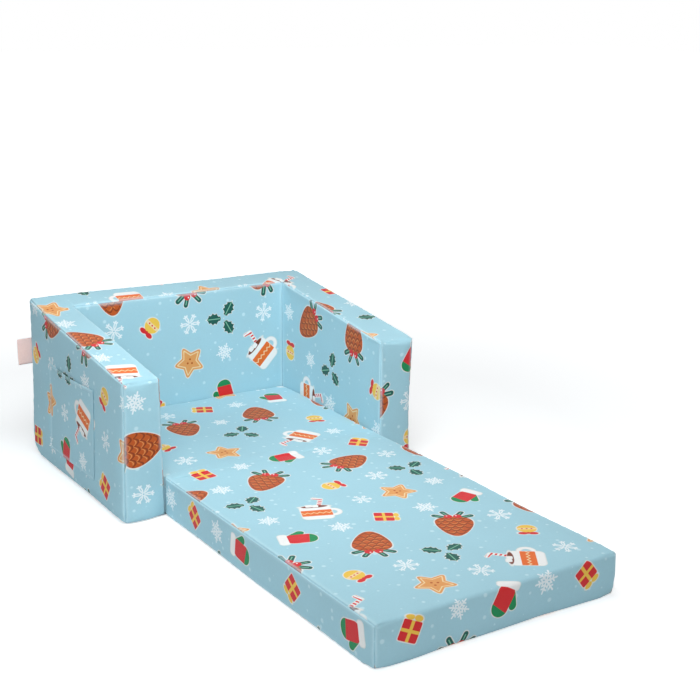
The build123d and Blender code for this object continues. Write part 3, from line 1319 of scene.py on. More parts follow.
@dataclass(frozen=True)
class PlainCloth:
    """Woven cloth of one colour, with a fine grain and a slow change of tone."""

    name: str
    colour: Colour
    thread: float = 1.2
    depth: float = 0.12
    ribbed: bool = False
    dot_pitch: float = 0.0
    dot_colour: Colour = Colour("9DB4BE")

    def make(self) -> Material:
        """Builds the material.

        Returns:
            The material.
        """
        painter = Painter(self.name, self.colour)
        flat, space = painter.flat(), painter.space()
        warp, weft = painter.weave(flat, self.thread)
        normal = painter.bump(weft if self.ribbed else warp * weft, self.depth, 0.6)
        if self.dot_pitch:
            cell = Spot(painter, painter.vector("FRACTION", painter.scaled(flat, 1 / self.dot_pitch)))
            dot = cell.disc(0.5, 0.5, 0.0).inside(0.2, 0.12)
            painter.paint(self.dot_colour, dot)
            normal = painter.bump(dot, 0.5, 0.8, normal)
        mottle = painter.noise(420.0, 3.0, space)
        tone = mottle * 0.14 + painter.noise(14.0, 2.0, space) * 0.08 + 0.89
        return painter.finish(normal, mottle * 0.15 + 0.72, tone, Specular_IOR_Level=0.25, Sheen_Weight=0.12)


@dataclass(frozen=True)
class CutFoam:
    """Open-cell foam with a cut face, whose pores have painted shade."""

    colour: Colour = Colour("F0E8CF")
    painted_pore_shade: Colour = Colour("C9BC92")
    cells: float = 900.0

    def make(self) -> Material:
        """Builds the material.

        Returns:
            The material.
        """
        painter = Painter("foam_look", self.colour)
        cells = painter.node("ShaderNodeTexVoronoi", {"Vector": painter.space(), "Scale": self.cells})
        holes = painter.wire(cells.outputs["Distance"])
        # Painted shade: the pores, where the bump dents the face, are coloured darker.
        painter.paint(self.painted_pore_shade, holes.inside(0.25, 0.3) * 0.6)
        return painter.finish(painter.bump(holes, 0.4, 0.7), 0.95, Specular_IOR_Level=0.15)


@dataclass(frozen=True)
class Nickel:
    """Nickel-plated zinc, with fine scratches along it."""

    colour: Colour = Colour("C4C6CA")
    cloud: Colour = Colour("A9ABAF")
    stretch: Place = (300.0, 2600.0, 2600.0)

    def make(self) -> Material:
        """Builds the material.

        Returns:
            The material.
        """
        painter = Painter("zip_metal_look", self.colour)
        space = painter.space()
        scratches = painter.noise(1.0, 4.0, painter.vector("MULTIPLY", space, self.stretch))
        painter.paint(self.cloud, painter.noise(160.0, 2.0, space) * 0.6)
        return painter.finish(painter.bump(scratches, 0.03, 0.5), scratches * 0.22 + 0.2, Metallic=1.0)


@dataclass(frozen=True)
class Thread:
    """Sewing thread: twisted, with a painted highlight along its twist that stands for a slight gloss."""

    name: str
    colour: Colour
    painted_highlight: Colour = Colour("FFFFFF")

    def make(self) -> Material:
        """Builds the material.

        Returns:
            The material.
        """
        painter = Painter(self.name, self.colour)
        twist = painter.noise(1800.0, 2.0, painter.space())
        # Painted highlight: white laid over the colour where the twist noise is high.
        painter.paint(self.painted_highlight, twist * 0.25)
        return painter.finish(painter.bump(twist, 0.1, 0.6), 0.55, Sheen_Weight=0.1)


class Wardrobe:
    """Every finish, made once."""

    def __init__(self) -> None:
        """Makes the finishes."""
        self.cloth = PrintedCloth().make()
        self.base = PlainCloth("base_cloth_look", Colour("AFC3CC"), dot_pitch=9.0).make()
        self.tag = PlainCloth("tag_look", Colour("FFDCD6"), thread=0.9, ribbed=True).make()
        self.tape = PlainCloth("zip_tape_look", Colour("8FBDD0"), thread=1.0, ribbed=True).make()
        self.teeth = Thread("zip_teeth_look", Colour("84B2C6")).make()
        self.metal = Nickel().make()
        self.foam = CutFoam().make()
        self.thread = Thread("thread_look", Colour("B9DCE8")).make()


# Sub-assemblies


@dataclass
class FrameCover:
    """Continuous cover of both arms and the back, with one U of cloth over their tops."""

    sizes: FrameSizes = FRAME
    feel: ClothFeel = ClothFeel(pucker_height=0.85, pull_height=2.1, pull_reach=26.0)
    seam_radius: float = 6.0
    rear_seam_radius: float = 7.5
    fold_radius: float = 9.0
    upright_radius: float = 8.5
    foot_radius: float = 9.0
    heel_radius: float = 18.0
    rear_corner_radius: float = 10.0
    front_corner_radius: float = 10.5
    top_corner_reach: float = 32.0
    inner_corner_radius: float = 8.5
    inner_corner_reach: float = 170.0
    foot_corner_radius: float = 12.0
    heel_corner_radius: float = 22.0
    front_crown: tuple[float, float] = (1.2, 12.0)
    inner_crown: float = -0.5
    back_crown: float = 0.6
    belly: float = 8.5
    belly_depth: float = 45.0
    belly_height: float = 130.0
    belly_fade: float = 1.3
    belly_spread: float = 0.75
    heel_belly: float = 5.0
    left_lift: float = 6.0
    zip_middle_z: float = 55.0
    zip_half: float = 185.0
    zip_band: float = 13.0
    zip_sink: float = 0.4
    zip_soft: float = 0.8
    zip_lip: tuple[float, float, float] = (0.8, 3.2, 1.8)
    rear_skin: float = 6.0
    inner_skin: float = 4.0
    inner_gap: tuple[float, float] = (0.2, 0.1)
    pocket_gap: float = 0.5
    pocket_drop: float = 6.0
    top_print: tuple[float, float] = (31.0, 12.0)
    under_print: tuple[float, float] = (400.0, 250.0)
    rear_print: tuple[float, float] = (1310.0, 25.0)
    inner_prints: tuple[tuple[float, float], ...] = ((1720.0, 93.0), (2210.0, 93.0))
    back_print: tuple[float, float] = (2745.0, 8.0)

    def slope(self, points: Points) -> Points:
        """Raises the block's points to the sloping top.

        Args:
            points: Places in the block.

        Returns:
            The places after the move.
        """
        s = self.sizes
        raised = points.copy()
        share = (points[..., 2] - s.low_z) / (s.front_height - s.low_z)
        raised[..., 2] = s.low_z + share * (s.height_at(points[..., 1]) - s.low_z)
        return raised

    def round_inner_top(self, points: Points) -> Points:
        """Rounds the inner top edges, which meet in a valley at the inner corners.

        Args:
            points: Block places with X counted from the middle.

        Returns:
            The places after the move.
        """
        s = self.sizes
        inner, back = (0, s.inner_half, -1), (1, s.back_front_y, -1)
        arm_move, back_move = (
            RoundedEdge(
                face,
                (2, s.front_height, 1),
                self.seam_radius,
                ((corner, self.inner_corner_radius),),
                self.inner_corner_reach,
            ).press(points)
            - points
            for face, corner in ((inner, s.back_front_y), (back, s.inner_half))
        )
        x, y, slip = points[:, 0], points[:, 1], 1e-6
        on_arm = (y <= s.back_front_y + slip) & (x >= s.inner_half - slip)
        on_back = (y >= s.back_front_y - slip) & (x <= s.inner_half + slip)
        between = (y > s.back_front_y) & (x > s.inner_half)
        lower = np.where((np.abs(arm_move[:, 2]) < np.abs(back_move[:, 2]))[:, None], arm_move, back_move)
        move = np.where(on_arm[:, None], arm_move, 0) + np.where((on_back & ~on_arm)[:, None], back_move, 0)
        move = np.where(between[:, None], lower, move)
        both = on_arm & on_back
        move[both, 1] = back_move[both, 1]
        return points + move

    def edges(self) -> list[RoundedEdge]:
        """Rounded edges of the right half, in the order in which they are pressed.

        Returns:
            The edges.
        """
        s = self.sizes
        outer, inner = (0, s.outer_half, 1), (0, s.inner_half, -1)
        front, rear = (1, s.front_y, -1), (1, s.rear_y, 1)
        top, low = (2, s.front_height, 1), (2, s.low_z, -1)
        at_rear, at_front = self.rear_corner_radius, self.front_corner_radius
        at_foot, at_heel = self.foot_corner_radius, self.heel_corner_radius
        x, reach = s.outer_half, self.top_corner_reach
        return [
            RoundedEdge(outer, top, self.seam_radius, ((s.front_y, at_front), (s.rear_y, at_rear)), reach),
            RoundedEdge(rear, top, self.rear_seam_radius, ((x, at_rear),), reach),
            RoundedEdge(front, top, self.fold_radius, ((x, at_front),)),
            RoundedEdge(outer, front, self.upright_radius, ((s.low_z, at_foot), (s.front_height, at_front))),
            RoundedEdge(inner, front, self.seam_radius),
            RoundedEdge(outer, rear, self.upright_radius, ((s.low_z, at_heel), (s.front_height, at_rear))),
            RoundedEdge(front, low, self.foot_radius, ((x, at_foot),)),
            RoundedEdge(rear, low, self.heel_radius, ((x, at_heel),)),
            RoundedEdge(outer, low, self.foot_radius, ((s.front_y, at_foot), (s.rear_y, at_heel))),
        ]

    def swell(self, points: Points, away: Points) -> Points:
        """Lets the arms belly out low down, where the cloth is slack round the foam.

        Args:
            points: Places with X counted from the middle, in mm.
            away: Sign of X of each point.

        Returns:
            The places after the move.
        """
        s = self.sizes
        x, y, z = points.T
        insets = (s.outer_half - x, y - s.front_y, s.rear_y - y)
        outer, front, rear = (np.clip(1 - inset / self.belly_depth, 0, 1) for inset in insets)
        across = np.clip((x - s.inner_half) / (s.outer_half - s.inner_half), 0, 1)
        foot = np.clip(1 - z / self.belly_height, 0, 1) ** self.belly_fade
        left = np.clip((s.outer_half / 3 - x * away) / s.outer_half, 0, 1)
        near_back = np.clip(1 - (s.rear_y - y) / (2 * self.belly_depth), 0, 1)
        moved = points.copy()
        moved[:, 0] += s.lean(away, y, z) * outer
        moved[:, 1] -= self.belly * foot * np.sin(self.belly_spread * np.pi * across) * front
        moved[:, 1] += self.heel_belly * foot * across * rear
        moved[:, 2] += self.left_lift * left * near_back * (z / s.rear_height) ** 2
        return moved

    def shape(self, points: Points) -> Points:
        """Rounds the block, gives it its sloping top and lets it swell.

        Args:
            points: Places in the block, one row each.

        Returns:
            The places after the moves.
        """

        def change(half: Points, away: Points) -> Points:
            """Does so on both sides at once."""
            return self.swell(self.slope(pressed(self.round_inner_top(half), self.edges())), away)

        return on_both_sides(points, change)

    def settle(self, points: Points) -> Points:
        """Sinks the cloth behind the zip and the pockets, and flattens the underside.

        Args:
            points: Places in space, in mm.

        Returns:
            The places after the move.
        """
        s, pocket = self.sizes, BookPocket(Side.LEFT)
        y = points[:, 1]
        moved = points.copy()
        along = np.abs(points[:, 0]) - self.zip_half
        beside = np.maximum(along, np.abs(points[:, 2] - self.zip_middle_z) - self.zip_band)
        sink = 1 / (1 + np.exp(np.clip(beside / self.zip_soft, -40, 40)))
        height, middle, reach = self.zip_lip
        sunk = y + (s.rear_y - self.zip_sink - y) * sink + height * bell(beside - middle, reach)
        moved[:, 1] = np.where(y > s.rear_y - self.rear_skin, sunk, y)
        moved[:, 2] = np.maximum(moved[:, 2], s.low_z)
        x, skin = points[:, 0], self.inner_skin
        in_arm = (y < s.back_front_y - skin) & (np.abs(np.abs(x) - s.inner_half) < skin)
        in_back = (np.abs(x) < s.inner_half - skin) & (np.abs(y - s.back_front_y) < skin)
        beside_arm = -np.sign(x) * held_below(-np.abs(x), -MATTRESS.side_limit - self.inner_gap[0])
        moved[:, 0] = np.where(in_arm, beside_arm, x)
        before_back = -held_below(-moved[:, 1], self.inner_gap[1] - s.back_front_y)
        moved[:, 1] = np.where(in_back, before_back, moved[:, 1])
        x, z, away = moved[:, 0], moved[:, 2], np.sign(moved[:, 0])
        behind = (y > pocket.front_y) & (y < pocket.rear_y)
        behind &= (z > pocket.low_z) & (z < pocket.mouth_z - self.pocket_drop)
        flat = pocket.face_x - self.pocket_gap + s.lean(away, y, z)
        moved[:, 0] = np.where(behind, away * np.minimum(np.abs(x), flat), x)
        return moved

    def seams(self) -> list[Seam]:
        """Sewn lines of the cover, in block places.

        Returns:
            The lines.
        """
        s = self.sizes
        low, top = s.low_z, s.front_height
        lines = []
        for side in (-1, 1):
            ends = ((side * s.outer_half, s.rear_y), (side * s.inner_half, s.back_front_y))
            for x, rear in ends:
                lines += [((x, s.front_y, low), (x, s.front_y, top)), ((x, s.front_y, top), (x, rear, top))]
            lines += [((x, rear, low), (x, rear, top)) for x, rear in ends]
            lines.append(((ends[0][0], s.front_y, low), (ends[0][0], s.rear_y, low)))
        outer, inner = (s.outer_half, s.rear_y), (s.inner_half, s.back_front_y)
        across = ((outer, top), (inner, top), (outer, low))
        lines += [((-half, y, z), (half, y, z)) for (half, y), z in across]
        return [Seam(*line) for line in lines]

    def build(self, wardrobe: Wardrobe) -> None:
        """Builds and dresses the cover.

        Args:
            wardrobe: The finishes.
        """
        s = self.sizes
        shell = ClothShell("frame_cover")
        shell.slope = self.slope
        right, middle = grid_lines(s.inner_half, s.outer_half), grid_lines(-s.inner_half, s.inner_half)
        left = -right[::-1]
        front_part, back_part = grid_lines(s.front_y, s.back_front_y), grid_lines(s.back_front_y, s.rear_y)
        all_x = np.concatenate([left[:-1], middle, right[1:]])
        all_y = np.concatenate([front_part, back_part[1:]])
        heights = grid_lines(s.low_z, s.front_height)
        top, top_flat = (2, s.front_height, 1), Flat((0, 1), (1, 1), self.top_print)
        bottom, bottom_flat = (2, s.low_z, -1), Flat((0, 1), (1, -1), self.under_print)
        along, down = self.top_print
        front_flat = Flat((0, 1), (2, 1), (along, s.front_y - s.front_height + down))
        for columns in (left, right):
            shell.panel(top, columns, all_y, top_flat)
            shell.panel(bottom, columns, all_y, bottom_flat)
            shell.panel((1, s.front_y, -1), columns, heights, front_flat, *self.front_crown)
        shell.panel(top, middle, back_part, top_flat)
        shell.panel(bottom, middle, back_part, bottom_flat)
        for side, flat in ARM_SIDE_FLATS.items():
            shell.panel((0, side * s.outer_half, side), all_y, heights, flat, s.crown)
        shell.panel((1, s.rear_y, 1), all_x, heights, Flat((0, -1), (2, 1), self.rear_print), s.crown)
        for side, shift in zip((-1, 1), self.inner_prints):
            flat = Flat((1, side), (2, 1), shift)
            shell.panel((0, side * s.inner_half, -side), front_part, heights, flat, self.inner_crown)
        back_flat = Flat((0, 1), (2, 1), self.back_print)
        shell.panel((1, s.back_front_y, -1), middle, heights, back_flat, self.back_crown)
        core = FoamCore(("left_arm_foam", "right_arm_foam", "back_foam"))
        piece = shell.sew(self.shape, self.seams(), self.feel, self.settle, core)
        dress(piece, wardrobe.cloth)
        hand_over(piece, Slot.CLOTH, "left_arm_cover", "right_arm_cover", "back_cover")


@dataclass
class MattressCover:
    """Cover of the seat base, and the long cover of the flip seat and the back section."""

    sizes: MattressSizes = MATTRESS
    feel: ClothFeel = ClothFeel(ripple_seed=5, pucker_height=0.75, pucker_reach=19.0, ripple_height=0.75)
    seam_radius: float = 5.6
    fold_radius: float = 6.5
    low_radius: float = 5.0
    crisp_radius: float = 0.2
    corner_radius: float = 9.5
    low_corner_radius: float = 14.0
    corner_reach: float = 34.0
    end_crown: float = 0.8
    end_reach: float = 14.0
    fold_ease: float = 0.1
    side_prints: tuple[tuple[float, float], ...] = ((3333.0, 45.0), (3871.0, 45.0))

    def rounds(self, near: float, far: float, low_z: float, rear_folds: bool) -> list[RoundedEdge]:
        """Rounded edges of a block's right half, in the order in which they are pressed.

        Args:
            near: Lowest Y, in mm.
            far: Highest Y.
            low_z: Height of the underside.
            rear_folds: Whether the fold's crisp edge is at the rear end, and not in front.

        Returns:
            The edges.
        """
        s = self.sizes
        side, top, low = (0, s.half_width, 1), (2, s.edge_z, 1), (2, low_z, -1)
        front = ((1, near, -1), not rear_folds, self.fold_radius)
        rear = ((1, far, 1), rear_folds, self.seam_radius)
        corner, low_corner = self.corner_radius, self.low_corner_radius
        closed_y = near if rear_folds else far

        def edge(first: Face, second: Face, radius: float, *ends: tuple[float, float]) -> RoundedEdge:
            """An edge whose corners all have the same reach."""
            return RoundedEdge(first, second, radius, ends, self.corner_reach)

        edges = [edge(side, top, self.seam_radius, (closed_y, corner))]
        for face, folds, radius in (rear, front):
            ends = [] if folds else [(s.half_width, corner)]
            edges.append(edge(face, top, self.crisp_radius if folds else radius, *ends))
        for face, folds, _ in (front, rear):
            ends = [] if folds else [(low_z, low_corner), (s.edge_z, corner)]
            edges.append(edge(side, face, self.seam_radius, *ends))
        edges.append(edge(side, low, self.low_radius, (closed_y, low_corner)))
        for face, _, _ in (front, rear):
            edges.append(edge(face, low, self.fold_radius, (s.half_width, low_corner)))
        return edges

    def block(
        self, name: str, near: float, far: float, low_z: float, rear_folds: bool, core: FoamCore
    ) -> Piece:
        """Builds one covered block.

        Args:
            name: Name of the piece.
            near: Lowest Y, in mm.
            far: Highest Y.
            low_z: Height of its underside.
            rear_folds: Whether the fold's crisp edge is at its rear end, and not in front.
            core: The foam in it.

        Returns:
            The piece.
        """
        s = self.sizes
        top_z, half = s.edge_z, s.half_width
        fold_y = far if rear_folds else near
        edges = self.rounds(near, far, low_z, rear_folds)

        def slack(block: Points) -> Points:
            """How freely the cloth ripples: not at all at the fold."""
            return 1 - np.exp(-(((block[:, 1] - fold_y) ** 2 + (block[:, 2] - top_z) ** 2) / s.fold_calm**2))

        def shape(points: Points) -> Points:
            """Rounds the block."""
            return on_both_sides(points, lambda moved, _: pressed(moved, edges))

        def settle(points: Points) -> Points:
            """Keeps the block on the floor, between the arms and under the fold's height.

            Args:
                points: Places in the block, one row each.

            Returns:
                The places after the moves.
            """
            moved = points.copy()
            moved[:, 0] = np.sign(points[:, 0]) * held_below(np.abs(points[:, 0]), s.side_limit)
            moved[:, 2] = np.maximum(held_below(points[:, 2], s.fold_z, self.fold_ease), low_z)
            return moved

        shell = ClothShell(name)
        shell.slack = slack
        across, along, up = grid_lines(-half, half), grid_lines(near, far), grid_lines(low_z, top_z)
        free, thick = (3 if rear_folds else 2,), top_z - low_z
        shell.panel((2, top_z, 1), across, along, Flat((0, 1), (1, 1)), s.crown, s.crown_reach, free)
        shell.panel((1, far, 1), across, up, Flat((0, 1), (2, -1), (0.0, far + top_z)))
        front_flat = Flat((0, 1), (2, 1), (0.0, near - top_z))
        shell.panel((1, near, -1), across, up, front_flat, self.end_crown * rear_folds, self.end_reach)
        under_shift = 2 * far + thick if rear_folds else 2 * near - thick
        shell.panel((2, low_z, -1), across, along, Flat((0, 1), (1, -1), (0.0, under_shift)))
        for side, shift in zip((-1, 1), self.side_prints):
            shell.panel((0, side * half, side), along, up, Flat((1, side), (2, 1), shift))
        seams = []
        for x in (-half, half):
            seams += [Seam((x, near, z), (x, far, z)) for z in (top_z, low_z)]
            seams += [Seam((x, y, low_z), (x, y, top_z)) for y in (near, far)]
        return shell.sew(shape, seams, self.feel, settle, core)

    def build(self, wardrobe: Wardrobe) -> None:
        """Builds and dresses the seat base and the folding part.

        Args:
            wardrobe: The finishes.
        """
        s = self.sizes
        core = FoamCore(("seat_base_foam",))
        base = self.block("seat_base", s.base_front_y, s.base_rear_y, s.base_low_z, False, core)
        dress(base, wardrobe.cloth)
        hand_over(base, Slot.CLOTH, "seat_base_cover")
        core = FoamCore(("flip_seat_foam", "back_section_foam"))
        folding = self.block("flip_mattress", s.far_y, s.flip_rear_y, 0.0, True, core)
        dress(folding, wardrobe.cloth)
        nodes = ("flip_seat_cover", "back_section_cover", "fold_wedge", "rear_hinge_strip")
        hand_over(folding, Slot.CLOTH, *nodes, body=None)
        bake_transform(folding)


@dataclass
class FoldStrip:
    """Cloth strip over the front fold, between the seat base and the flip seat."""

    half_width: float = 225.0
    half_length: float = 18.0
    top_z: float = 74.78
    sink: float = 1.6
    end_slope: float = 7.0
    side_slope: float = 12.0
    thickness: float = 0.3
    columns: int = 70
    steps: tuple[float, ...] = (0.2, 0.6, 1.2, 2.2, 4.0, 7.0, 11.0, 15.0, 18.0)
    blend_y: tuple[float, float] = (-0.2212, -0.2228)

    def build(self, wardrobe: Wardrobe) -> None:
        """Builds and dresses the strip.

        Args:
            wardrobe: The finishes.
        """
        x, y = np.meshgrid(
            np.linspace(-self.half_width, self.half_width, self.columns),
            MATTRESS.fold_y + both_ways(self.steps),
            indexing="ij",
        )
        end = np.abs(y - MATTRESS.fold_y) - (self.half_length - self.end_slope)
        side = np.abs(x) - (self.half_width - self.side_slope)
        away = np.maximum(np.maximum(end, 0) / self.end_slope, np.maximum(side, 0) / self.side_slope)
        drop = np.clip(away, 0, 1) ** 2 * self.sink
        crown = MATTRESS.crown * bell(MATTRESS.half_width - np.abs(x), MATTRESS.crown_reach)
        places = np.stack([x, y, self.top_z - drop - crown], -1)
        piece = Sheet("front_fold_strip", places, places[..., :2], False, self.thickness).make(wardrobe.cloth)
        hand_over(piece, Slot.CLOTH, "front_hinge_strip", body=None)
        start, end = ((0, y, 0) for y in self.blend_y)
        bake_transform(piece)


SOCKETS = {float: "NodeSocketFloat", int: "NodeSocketInt", Material: "NodeSocketMaterial"}


@dataclass
class BeadRow:
    """Row of small beads along a path, made by Geometry Nodes."""

    name: str
    path: Sequence[Place]
    pitch: float

    def values(self) -> dict[str, float | int]:
        """Named inputs of the node group that a kind of bead has of its own."""
        raise NotImplementedError

    def bead(self, maker: TreeMaker, inputs: Sequence[Socket]) -> tuple[Node, dict[str, object]]:
        """Makes the nodes of one bead.

        Args:
            maker: Makes the nodes.
            inputs: The group's inputs, by name.

        Returns:
            The bead, and what turns and sizes it at each point.
        """
        raise NotImplementedError

    def group(self, values: dict[str, object]) -> bpy.types.NodeTree:
        """Makes the node group that puts a bead at every pitch along a line of edges.

        Args:
            values: Named inputs, whose types say which sockets they get.

        Returns:
            The group.
        """
        group = bpy.data.node_groups.new(self.name, "GeometryNodeTree")
        for way in ("INPUT", "OUTPUT"):
            group.interface.new_socket("Geometry", in_out=way, socket_type="NodeSocketGeometry")
        for name, value in values.items():
            group.interface.new_socket(name, in_out="INPUT", socket_type=SOCKETS[type(value)])
        maker = TreeMaker(group)
        inputs = maker.node("NodeGroupInput").outputs
        line = maker.node("GeometryNodeMeshToCurve", {0: inputs["Geometry"]})
        spacing = {"Curve": line, "Length": inputs["Pitch"]}
        spaced = maker.node("GeometryNodeResampleCurve", spacing, mode="LENGTH")
        bead, placing = self.bead(maker, inputs)
        row = maker.node("GeometryNodeInstanceOnPoints", {"Points": spaced, "Instance": bead, **placing})
        real = maker.node("GeometryNodeRealizeInstances", {0: row})
        dressed = maker.node("GeometryNodeSetMaterial", {"Geometry": real, "Material": inputs["Finish"]})
        maker.node("NodeGroupOutput", {0: dressed})
        return group

    def build(self, finish: Material, slot: Slot, *nodes: str) -> Piece:
        """Makes the row a plain mesh that rides on the frame.

        Args:
            finish: The beads' finish.
            slot: The record's slot.
            nodes: The nodes that it replaces.

        Returns:
            The piece.
        """
        mesh = bpy.data.meshes.new(self.name)
        edges = [(i, i + 1) for i in range(len(self.path) - 1)]
        mesh.from_pydata((np.array(self.path) * MM).tolist(), edges, [])
        piece = add_object(self.name, mesh)
        values = {"Pitch": self.pitch * MM, **self.values(), "Finish": finish}
        modifier = piece.modifiers.new("row", "NODES")
        modifier.node_group = self.group(values)
        for item in modifier.node_group.interface.items_tree:
            if item.name in values:
                modifier[item.identifier] = values[item.name]
        apply_modifiers(piece)
        smooth(piece.data)
        return hand_over(piece, slot, *nodes)


@dataclass
class StitchRow(BeadRow):
    """Row of stitches, sewn in thread."""

    pitch: float = 3.6
    length: float = 2.5
    thickness: float = 0.32
    sides: int = 6
    rings: int = 4

    def values(self) -> dict[str, float | int]:
        """Sizes of a stitch, in metres."""
        return {"Stitch Length": self.length * MM, "Thread Radius": self.thickness * MM, "Sides": self.sides}

    def bead(self, maker: TreeMaker, inputs: Sequence[Socket]) -> tuple[Node, dict[str, object]]:
        """Makes the nodes of one stitch, which lies along the path.

        Args:
            maker: The tree's maker.
            inputs: The row's inputs.

        Returns:
            The bead's last node, and what else the node that sets the beads takes.
        """
        sphere = {"Segments": inputs["Sides"], "Rings": self.rings, "Radius": 1.0}
        ball = maker.node("GeometryNodeMeshUVSphere", sphere)
        tangent = {"Vector": maker.node("GeometryNodeInputTangent")}
        turn = maker.node("FunctionNodeAlignRotationToVector", tangent, axis="Z")
        radius, half = inputs["Thread Radius"], maker.wire(inputs["Stitch Length"]) / 2.0
        size = maker.node("ShaderNodeCombineXYZ", {"X": radius, "Y": radius, "Z": half})
        return ball, {"Rotation": turn, "Scale": size}


@dataclass
class CoilRow(BeadRow):
    """Half of the zip's coil: one bent, slanted bead of nylon for each tooth."""

    slant: float
    reach: float = 3.0
    rise: float = 0.35
    wire: float = 0.55
    facets: int = 6

    def values(self) -> dict[str, float | int]:
        """Sizes of a tooth, in metres, and its slant in radians."""
        slant = math.radians(self.slant)
        return {"Tooth Reach": self.reach * MM, "Wire Radius": self.wire * MM, "Slant": slant}

    def bead(self, maker: TreeMaker, inputs: Sequence[Socket]) -> tuple[Node, dict[str, object]]:
        """Makes the nodes of one tooth, which arches over the other half's teeth.

        Args:
            maker: The tree's maker.
            inputs: The row's inputs.

        Returns:
            The bead's last node, and what else the node that sets the beads takes.
        """
        reach = maker.wire(inputs["Tooth Reach"])
        high, rise = reach / 2.0, reach * self.rise
        low = high * -1.0
        ends = {
            "Start": {"Z": low},
            "Start Handle": {"Y": rise, "Z": low},
            "End Handle": {"Y": rise, "Z": high},
            "End": {"Z": high},
        }
        points = {name: maker.node("ShaderNodeCombineXYZ", parts) for name, parts in ends.items()}
        arch = maker.node("GeometryNodeCurvePrimitiveBezierSegment", {"Resolution": self.facets, **points})
        circle = {"Resolution": self.facets, "Radius": inputs["Wire Radius"]}
        ring = maker.node("GeometryNodeCurvePrimitiveCircle", circle)
        solid = {"Curve": arch, "Profile Curve": ring, "Fill Caps": True}
        tube = maker.node("GeometryNodeCurveToMesh", solid)
        return tube, {"Rotation": maker.node("ShaderNodeCombineXYZ", {"Y": inputs["Slant"]})}


